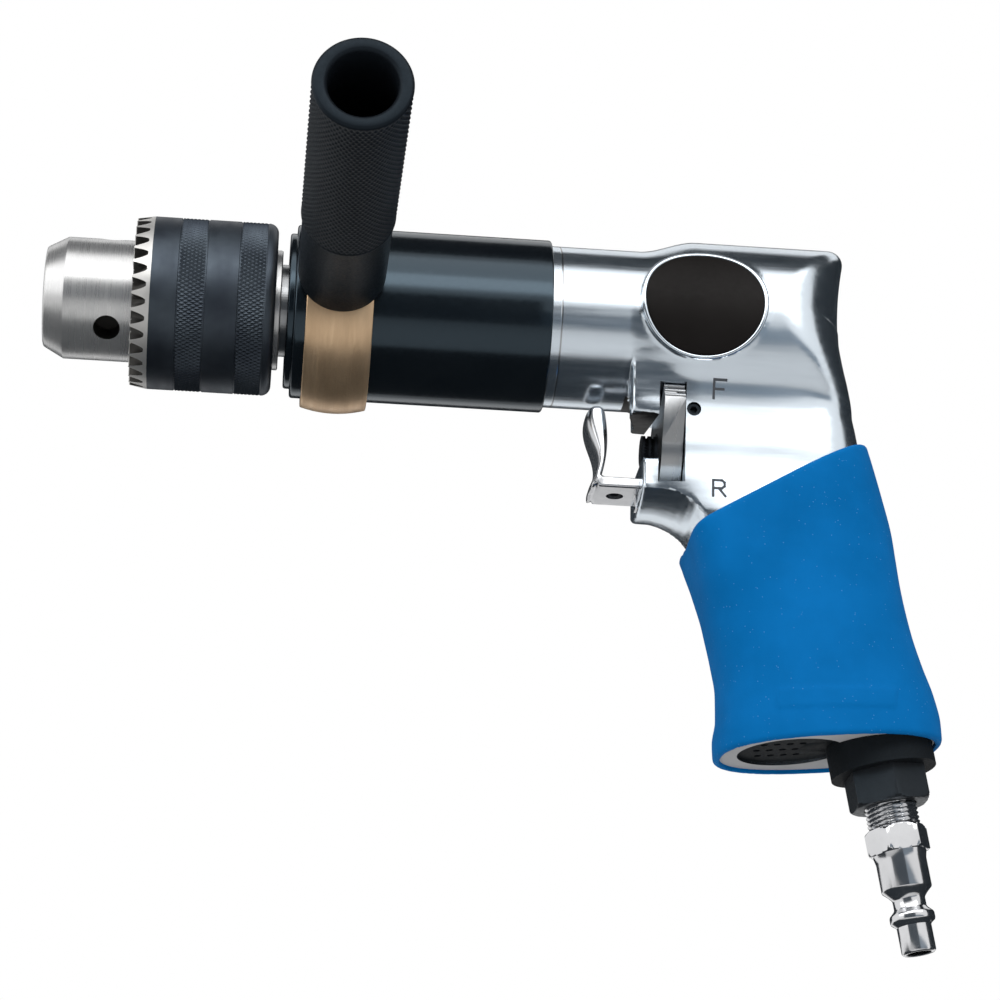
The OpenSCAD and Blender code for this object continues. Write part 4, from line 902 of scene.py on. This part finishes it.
class DRILL_OT_chuck_body(bpy.types.Operator):
    """Makes the chuck's nose: an outline of radius against X turned about the spindle's axis, less rods for the
    mouth, the key holes and the inclined jaw passages"""

    bl_idname = "drill.chuck_body"
    bl_label = "Chuck body"

    def execute(self, context):
        end = 62.3
        outline = [(0, 0), (13.2, 0), (16.2, 5.5), (16.2, 28.7), (15.0, 28.7), (15.0, 35.5), (15.6, 35.5),
                   (15.6, 58.3), (16, 58.3), (16, end), (0, end)]
        profile = rounded(outline, [0, 0.6, 0.15, 0.2, 0.1, 0.1, 0.1, 0.1, 0.1, 0.5, 0], 6)[6:-6]
        profile = resampled(np.vstack([[(0, 0)], profile, [(0, end)]]), 0.6)
        obj = mesh_object("chuck_nose", grid_piece(around_x(profile, 192), caps=False), "nose")
        cut(obj, rod_part((-1, 0, 0), (33, 0, 0), MOUTH_RADIUS, 96))
        cut(obj, *[rod_part(KEY + 10.25 * out, KEY + 20 * out, KEY_RADIUS, 64) for out in spokes(KEY_ANGLE)])
        for out in spokes(JAW_ANGLE):
            start, stop = [np.array([x, 0, 0]) + (1.16 + x * JAW_SLOPE) * out for x in (-4.5, 57)]
            cut(obj, rod_part(start, stop, JAW_RADIUS, 52))
        self.paint_inside_shade(obj)
        shade(obj.data, 13)
        settle(obj, "spindle", "chuck_steel", "chuck_body")
        return {"FINISHED"}

    def paint_inside_shade(self, obj):
        """Paints shade into the mouth and the key holes: their faces, found by each face's middle, get the dark bore
        finish.
        """
        mid, _ = face_table(obj.data)
        inside = (np.hypot(mid[:, 1], mid[:, 2]) < MOUTH_RADIUS + 0.05) & between(mid[:, 0], 0.05, 40)
        for out in spokes(KEY_ANGLE):
            along = mid @ out
            off = np.linalg.norm(mid - np.outer(along, out) - KEY, axis=1)
            inside |= (off < KEY_RADIUS + 0.02) & between(along, 9, 15.75)
        paint(obj.data, inside, "bore")


# Grip


def grip_field(p):
    """Distance to the rubber grip: the outer loft between a slanted top edge and the rim, with rounded lips and a
    faint bare patch on one side, less the cast handle."""
    u, y, z = p[..., 0] - SEAM, p[..., 1], p[..., 2]
    outer = loft_distance(u, y, z, GRIP_LOFT, 2.4)
    patch_u, patch_z = 75.2, -105.2
    across, up = u - patch_u, z - patch_z
    patch = np.maximum(np.abs(across - 0.12 * up) - 15.2, np.abs(up - 0.054 * across) - 2.6)
    outer = outer - np.where(y < 0, 0.35 * np.clip(0.5 - patch / 0.8, 0, 1), 0)
    slant = math.radians(31)
    top = -math.sin(slant) * (u - 59.3) + math.cos(slant) * (z + 47)
    low = math.sin(RIM_TILT) * (u + SEAM - RIM[0]) - math.cos(RIM_TILT) * (z - RIM[2])
    body = round_max(round_max(outer, top, 1.4), low, 1.1)
    inner = loft_distance(u, y, z, CASTING_LOFT, 2.3, 0.02)
    return round_max(body, -inner, 0.5)


class DRILL_OT_grip(bpy.types.Operator):
    """Makes the blue rubber grip: the zero level of its distance field, less the inlet's collar"""

    bl_idname = "drill.grip"
    bl_label = "Rubber grip"

    def execute(self, context):
        part = surface_net(grip_field, (SEAM + 34, -21, CAST_FOOT), (SEAM + 107, 21, -26), 0.7)
        obj = mesh_object("rubber_sleeve", part, "rubber")
        cut(obj, rod_part(in_inlet((-8, 0, 0)), in_inlet((36, 0, 0)), 14.0, 96))
        shade(obj.data, 50)
        settle(obj, "housing", "blue_rubber", "rubber_grip")
        return {"FINISHED"}


# Controls


def trigger_field(p):
    """Distance to the trigger: a finger blade whose front follows a cosine and whose back a parabola, with an
    arm and a heel below it, all with rounded edges."""
    u, y, z = p[..., 0] - SEAM, p[..., 1], p[..., 2]
    half = 7.4
    front = 12.5 - 1.55 * np.cos(TAU * (z + 28) / 24)
    back = 17.0 - 0.014 * (z + 33) ** 2
    a = np.maximum((back - front) / 2, 0.8)
    x, w = np.abs(u - (front + back) / 2) / a, np.abs(y) / half
    f = np.maximum(x ** 3 + w ** 3, 1e-9) ** (1 / 3)
    blade = (f - 1) / np.hypot((x / f) ** 2 / a, (w / f) ** 2 / half)
    blade = round_max(blade, np.abs(z + 36) - 11.4, 1.3)
    arm = round_max(np.maximum(np.abs(u - 20.3) - 5.8, np.abs(y) - half), np.abs(z + 46) - 1.4, 0.5)
    heel = np.maximum(np.maximum(np.abs(u - 25.5) - 0.6, np.abs(y) - 2), np.abs(z + 48.6) - 2.5)
    return smooth_min(smooth_min(blade, arm, 1.6), heel, 0.3)


class DRILL_OT_trigger(bpy.types.Operator):
    """Makes the plated slide trigger: the zero level of its distance field, less the hole for its screw"""

    bl_idname = "drill.trigger"
    bl_label = "Trigger"

    def execute(self, context):
        part = surface_net(trigger_field, (SEAM + 10, -7.6, -52.2), (SEAM + 26.3, 7.6, -24.4), 0.3)
        obj = mesh_object("slide_trigger", part, "plating")
        cut(obj, rod_part((SEAM + 19.5, 0, -49), (SEAM + 19.5, 0, -44), 2.3))
        shade(obj.data, 40)
        settle(obj, "trigger", "chrome", "trigger")
        return {"FINISHED"}


def hexagon(turns, half, shift):
    """Radius of a hexagon: half its width across flats over the cosine of the angle from the nearest flat."""
    return half / np.cos(np.pi * ((turns * 6 + shift) % 1 - 0.5) / 3)


class DRILL_OT_bushing(bpy.types.Operator):
    """Makes the black inlet bushing: along the inlet's axis, the smaller of a hexagon and a turned limit that
    gives the stem and the chamfers"""

    bl_idname = "drill.bushing"
    bl_label = "Inlet bushing"

    def execute(self, context):
        turns = np.arange(144) / 144
        s = np.array([-20, -20, 3.9, 3.9, 4.2, 8, 12.2, 12.7, 13.1, 13.4, 13.5, 13.5])[:, None]
        limit = np.array([6.9, 8.75, 8.75, 10.4, 20, 20, 20, 10.7, 10.3, 9.8, 9.4, 6.9])[:, None]
        points = in_inlet(rings(s, np.minimum(hexagon(turns, 9.5, 0.5), limit), turns))
        obj = mesh_object("hex_bushing", grid_piece(points, wrap_rows=True), "oxide", 22)
        settle(obj, "housing", "satin_black", "inlet_bushing")
        return {"FINISHED"}


class DRILL_OT_plug(bpy.types.Operator):
    """Makes the quick-connect plug along the inlet's axis: a thread that is a zigzag of the length in pitches less
    the angle in turns, a chamfered hexagon and a turned nose"""

    bl_idname = "drill.plug"
    bl_label = "Air plug"

    def execute(self, context):
        pitch, start = sizes().thread_pitch / MM, 5.0
        turns = np.arange(144) / 144
        run = np.arange(start, 19.3, pitch / 12)[:, None]
        thread = 6.8 - 0.55 * (1 - zigzag(run / pitch - turns)) * np.clip(run - start, 0, 1)
        s = np.array([19.5, 19.5, 19.8, 20.3, 22, 24, 25.4, 25.8, 26.0])[:, None]
        limit = np.array([6.2, 7.35, 7.75, 8.3, 9, 9, 8.3, 7.75, 7.2])[:, None]
        nose = np.array([
            (26.0, 6.95), (26.6, 6.8), (28, 6.5), (35.2, 6.5), (35.5, 6.4), (36.6, 5.2), (37.7, 4.3), (38.2, 4.2),
            (40.1, 4.2), (40.6, 4.4), (41.5, 5.3), (41.8, 5.6), (42.1, 5.75), (42.5, 5.8), (43.5, 5.8), (43.9, 5.65),
            (44.6, 4.75), (45, 4.45), (51.4, 4.45), (51.8, 4.3), (52, 4.0), (52, 3.4), (51.8, 3.2), (4.9, 3.2),
            (4.9, 5.5)])
        points = in_inlet(np.concatenate([
            rings(run, thread, turns), rings(s, np.minimum(hexagon(turns, 7.15, 0), limit), turns),
            rings(nose[:, :1], nose[:, 1:], turns)]))
        obj = mesh_object("quick_plug", grid_piece(points, wrap_rows=True), "chrome", 35)
        settle(obj, "housing", "chrome", "air_plug")
        return {"FINISHED"}


def on_barrel(a, length, height, r):
    """Points of an oval round the badge's middle, rolled onto the barrel at a radius: X = u + length cos a, and
    the turn about the spindle's axis is height sin a over the radius of unrolling."""
    turn = (BADGE_V + height * np.sin(a)) / BADGE_R
    return np.stack([SEAM + BADGE_U + length * np.cos(a), -r * np.cos(turn), r * np.sin(turn)], -1)


class DRILL_OT_badge(bpy.types.Operator):
    """Makes the bare oval badge, rings of one oval that drop at its edge, and its polished rim"""

    bl_idname = "drill.badge"
    bl_label = "Badge"

    def execute(self, context):
        count = 160
        a = np.linspace(0, TAU, count, endpoint=False)
        share = np.array([0, 0.2, 0.4, 0.6, 0.75, 0.86, 0.93, 0.965, 0.985, 1.0, 1.0, 0.9])[:, None]
        rise = np.array([0.75, 0.75, 0.75, 0.75, 0.75, 0.75, 0.75, 0.73, 0.66, 0.5, 0.1, 0.1])[:, None]
        points, faces = grid_piece(on_barrel(a, BADGE_A * share, BADGE_B * share, 25.0 + rise), caps=False)
        faces.append(list(range(len(points) - count, len(points))))
        obj = mesh_object("oval_badge", (points, faces), "badge", 60)
        settle(obj, "housing", "badge_black", "badge_plate")
        self.rim(a)
        return {"FINISHED"}

    def rim(self, a):
        """Polished rim round the badge: half an ellipse swept along the oval."""
        t = np.linspace(0, math.pi, 13)
        out = np.concatenate([0.6 - 0.65 * np.cos(t), [1.25, -0.05]])[:, None]
        r = np.concatenate([25.2 + 0.6 * np.sin(t), [24.4, 24.4]])[:, None]
        points = on_barrel(a, BADGE_A + out, BADGE_B + out, r)
        obj = mesh_object("badge_rim", grid_piece(points, wrap_rows=True), "casting", 60)
        settle(obj, "housing", "polished_aluminium")


def on_side(u, z):
    """Depth of the casting's near side at a place: the first zero of its field, found by halving."""
    low, high = np.full(np.shape(u), -40.0), np.full(np.shape(u), -5.0)
    for _ in range(40):
        mid = (low + high) / 2
        inside = casting_field(np.stack([SEAM + u, mid, z], -1)) < 0
        low, high = np.where(inside, low, mid), np.where(inside, mid, high)
    return low


class DRILL_OT_marks(bpy.types.Operator):
    """Makes the stamped F and R beside the reversing lever from straight bars laid on the casting's side"""

    bl_idname = "drill.marks"
    bl_label = "Direction marks"

    def execute(self, context):
        letter_f = [[(0, 0), (0, -4.7)], [(0, 0), (3.1, 0)], [(0, -2.3), (2.5, -2.3)]]
        letter_r = [[(0, 0), (0, -4.3)], [(0, 0), (2.3, 0), (3.0, -0.6), (3.0, -1.6), (2.3, -2.2), (0, -2.2)],
                    [(1.5, -2.2), (3.2, -4.3)]]
        parts = []
        for corner, strokes in (((43.3, -19.8), letter_f), ((43.4, -47.2), letter_r)):
            for stroke in strokes:
                line = np.array(stroke) + corner
                parts += [self.bar(start, end) for start, end in zip(line[:-1], line[1:])]
        obj = mesh_object("direction_marks", merged(*parts), "mark", 30)
        settle(obj, "housing", "polished_aluminium")
        return {"FINISHED"}

    def bar(self, start, end, half=0.33):
        """One straight stroke of a letter with the given half width, laid on the casting's side."""
        along = (end - start) / np.linalg.norm(end - start)
        across = half * np.array([-along[1], along[0]])
        start, end = start - half * along, end + half * along
        line = start + (end - start) * np.linspace(0, 1, 7)[:, None]
        u, z = np.moveaxis(np.stack([line - across, line + across], 1), -1, 0)
        top = np.stack([SEAM + u, on_side(u, z) - 0.03, z], -1)
        low = top + [0, 0.3, 0]
        return grid_piece(np.stack([top[:, 0], top[:, 1], low[:, 1], low[:, 0]], 1))


class DRILL_OT_smooth_solids(bpy.types.Operator):
    """Joins and smooths the machined pieces that keep their solid's shape, shortens the exhaust cap's collar, gives
    the throttle's spring a mesh of its own and adds the lever's ribs"""

    bl_idname = "drill.smooth_solids"
    bl_label = "Machined pieces"

    def execute(self, context):
        pieces = {
            "spindle_collar": ("spindle", "chuck_steel"), "exhaust_cap": ("housing", "black_plastic"),
            "reverse_lever": ("reverse", "lever_steel"), "reverse_spool": ("reverse", "lever_steel"),
            "spool_set_screw": ("housing", "blued_steel"), "trigger_screw": ("trigger", "blued_steel"),
            "throttle_stem": ("trigger", "bearing_steel"), "throttle_spring": ("housing", "bearing_steel"),
        }
        for node, (body, slot) in pieces.items():
            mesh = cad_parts[node].data.copy()
            clean(mesh, 1e-6)
            mesh.materials.clear()
            mesh.materials.append(finish_set()[NODE_FINISH[node]])
            obj = placed(node + "_smooth", mesh)
            if node == "exhaust_cap":
                self.shorten(mesh)
            shade(mesh, 30)
            settle(obj, body, slot, node)
            if node == "throttle_spring":
                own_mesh(obj)
        self.ridges()
        return {"FINISHED"}

    def shorten(self, mesh, less=3.6):
        """Brings the end of the inlet's collar back along the inlet's axis by some millimetres."""
        flat = np.empty(len(mesh.vertices) * 3)
        mesh.vertices.foreach_get("co", flat)
        points = flat.reshape(-1, 3)
        axis = in_inlet((1, 0, 0)) - INLET
        points[(points / MM - INLET) @ axis > 6] -= less * MM * axis
        mesh.vertices.foreach_set("co", points.ravel())
        mesh.update()

    def ridges(self):
        """Three round ribs across the end of the reversing lever's thumb tab, at the tab's angle at rest."""
        a = math.radians(33)
        out, up = np.array([0, -math.cos(a), math.sin(a)]), np.array([0, math.sin(a), math.cos(a)])
        parts = []
        for offset in (-1.5, 0.5, 2.5):
            middle = np.array([SEAM + 33.05, 0, SPOOL_Z]) + 19.85 * out + offset * up
            parts.append(rod_part(middle - (2.7, 0, 0), middle + (2.7, 0, 0), 0.6, 24))
        obj = mesh_object("lever_ribs", merged(*parts), "lever", 40)
        settle(obj, "reverse", "lever_steel")


# Stage

# Camera: its right, up and back directions, its place in millimetres and its lens
CAMERA_AXES = (0.99547, -0.09107, 0.02717), (-0.05666, -0.33927, 0.93900), (-0.07630, -0.93628, -0.34289)
CAMERA_PLACE = (58.14, -791.92, -340.29)
CAMERA_LENS = 115.59

# Soft boxes: place and target in metres, width and height, power
LAMPS = {
    "key": ((0.1, -0.9, 0.8), (0.1, 0, -0.03), (2.0, 1.1), 6.5),
    "strip": ((0.1, -0.98, 0.55), (0.1, 0, 0), (2.0, 0.34), 3.8),
    "left": ((-0.7, -0.35, 0.25), (0.05, 0, -0.02), (0.5, 0.7), 1.2),
}

# Pale floor well below the drill, since the camera looks up at it: two opposite corners in metres
FLOOR = (-1.5, -1.5, -0.64), (1.5, 1.5, -0.64)

# Dark flags that only reflections show, as a studio sets them round polished metal: corners and lightness
FLAGS = {
    "flag_front": ((-2, -1.6, -0.75), (0.36, -1.6, 0.3), 0.16),
    "flag_side": ((0.36, -1.6, -0.75), (2.2, -1.6, -0.1), 0.5),
    "flag_below": ((-1.6, -0.34, -0.62), (1.8, 1.0, -0.62), 0.05),
    "flag_above": ((-1.6, -0.36, 1.2), (1.8, 0.5, 1.2), 0.05),
    "flag_back": ((-1.2, 1.5, -0.2), (2.2, 1.5, 1.3), 0.05),
    "flag_right": ((1.6, -0.5, -0.6), (1.6, 2.0, 1.3), 0.05),
}
FLAG_TINT = (0.82, 0.98, 1.15)

# Strength of the surroundings for diffuse light, and share of the camera's white in what reflections show
DIFFUSE_LEVEL = 0.45
GLOSSY_SHARE = 0.8


class DRILL_OT_stage(bpy.types.Operator):
    """Sets the camera, the lights, the floor, the flags and the white surroundings"""

    bl_idname = "drill.stage"
    bl_label = "Stage"

    def execute(self, context):
        scene = context.scene
        scene.view_settings.view_transform = "Standard"
        data = bpy.data.cameras.new("camera")
        data.sensor_width, data.lens, data.clip_start = 36.0, CAMERA_LENS, 0.01
        camera = placed("camera", data)
        turn = Matrix(CAMERA_AXES).transposed().to_4x4()
        camera.matrix_world = Matrix.Translation(Vector(CAMERA_PLACE) * MM) @ turn
        scene.camera = camera
        for name, lamp in LAMPS.items():
            self.lamp(name, *lamp)
        floor = Finish("pale_floor")
        floor.set(Base_Color=(0.86, 0.86, 0.86, 1), Roughness=0.7)
        self.sheet("floor", floor.material, *FLOOR)
        for name, (low, high, level) in FLAGS.items():
            flag = Finish(name)
            flag.set(Base_Color=scaled(FLAG_TINT, level), Roughness=0.9, Specular_IOR_Level=0.1)
            self.sheet(name, flag.material, low, high, False)
        self.surroundings(scene)
        return {"FINISHED"}

    def lamp(self, name, place, target, size, power):
        """One soft box that faces the target."""
        data = bpy.data.lights.new(name, "AREA")
        data.shape, data.size, data.size_y, data.energy = "RECTANGLE", size[0], size[1], power
        obj = placed(name, data)
        obj.location = place
        obj.rotation_euler = (Vector(target) - Vector(place)).to_track_quat("-Z", "Y").to_euler()

    def sheet(self, name, material, low, high, seen=True):
        """One rectangle of the stage between two opposite corners; an unseen one only shows in reflections."""
        first = next(i for i in range(3) if low[i] != high[i])
        second, fourth = list(low), list(high)
        second[first], fourth[first] = high[first], low[first]
        mesh = bpy.data.meshes.new(name)
        mesh.from_pydata([low, second, high, fourth], [], [(0, 1, 2, 3)])
        mesh.materials.append(material)
        obj = placed(name, mesh)
        obj.visible_camera = obj.visible_diffuse = obj.visible_shadow = seen

    def surroundings(self, scene):
        """White surroundings for the camera, a soft grey in reflections and a lower level for diffuse light."""
        scene.world = bpy.data.worlds.new("studio")
        n = Nodes(scene.world)
        path = n.add("LightPath").outputs
        glossy = n.math("MULTIPLY", path["Is Glossy Ray"], GLOSSY_SHARE)
        share = n.math("MAXIMUM", path["Is Camera Ray"], glossy)
        soft, seen = [n.add("Background", {"Color": WHITE, "Strength": level}).outputs[0]
                      for level in (DIFFUSE_LEVEL, 1.0)]
        n.add("OutputWorld", [n.add("MixShader", [share, soft, seen]).outputs[0]])


class DRILL_PT_panel(bpy.types.Panel):
    """Lists the drill's steps in the sidebar"""

    bl_idname = "DRILL_PT_panel"
    bl_label = "Air Drill"
    bl_space_type = "VIEW_3D"
    bl_region_type = "UI"
    bl_category = "Air Drill"

    def draw(self, context):
        column = self.layout.column()
        for step in STEPS:
            column.operator(step.bl_idname)


STEPS = (
    DRILL_OT_finishes,
    DRILL_OT_casting,
    DRILL_OT_gear_housing,
    DRILL_OT_clamp_ring,
    DRILL_OT_handle,
    DRILL_OT_chuck_sleeve,
    DRILL_OT_chuck_body,
    DRILL_OT_grip,
    DRILL_OT_trigger,
    DRILL_OT_bushing,
    DRILL_OT_plug,
    DRILL_OT_badge,
    DRILL_OT_marks,
    DRILL_OT_smooth_solids,
    DRILL_OT_stage,
)
CLASSES = (DrillSizes, DrillFinishes) + STEPS + (DRILL_PT_panel,)


def register():
    """Registers the classes and hangs the settings on the scene."""
    for cls in CLASSES:
        bpy.utils.register_class(cls)
    bpy.types.Scene.drill_sizes = PointerProperty(type=DrillSizes)
    bpy.types.Scene.drill_finishes = PointerProperty(type=DrillFinishes)


def unregister():
    """Takes the settings and the classes away again."""
    del bpy.types.Scene.drill_finishes
    del bpy.types.Scene.drill_sizes
    for cls in reversed(CLASSES):
        bpy.utils.unregister_class(cls)


def main():
    """Builds the looks in order."""
    register()
    bpy.ops.drill.finishes()
    bpy.ops.drill.casting()
    bpy.ops.drill.gear_housing()
    bpy.ops.drill.clamp_ring()
    bpy.ops.drill.handle()
    bpy.ops.drill.chuck_sleeve()
    bpy.ops.drill.chuck_body()
    bpy.ops.drill.grip()
    bpy.ops.drill.trigger()
    bpy.ops.drill.bushing()
    bpy.ops.drill.plug()
    bpy.ops.drill.badge()
    bpy.ops.drill.marks()
    bpy.ops.drill.smooth_solids()
    bpy.ops.drill.stage()
    bpy.context.view_layer.update()


if __name__ == "__main__":
    main()
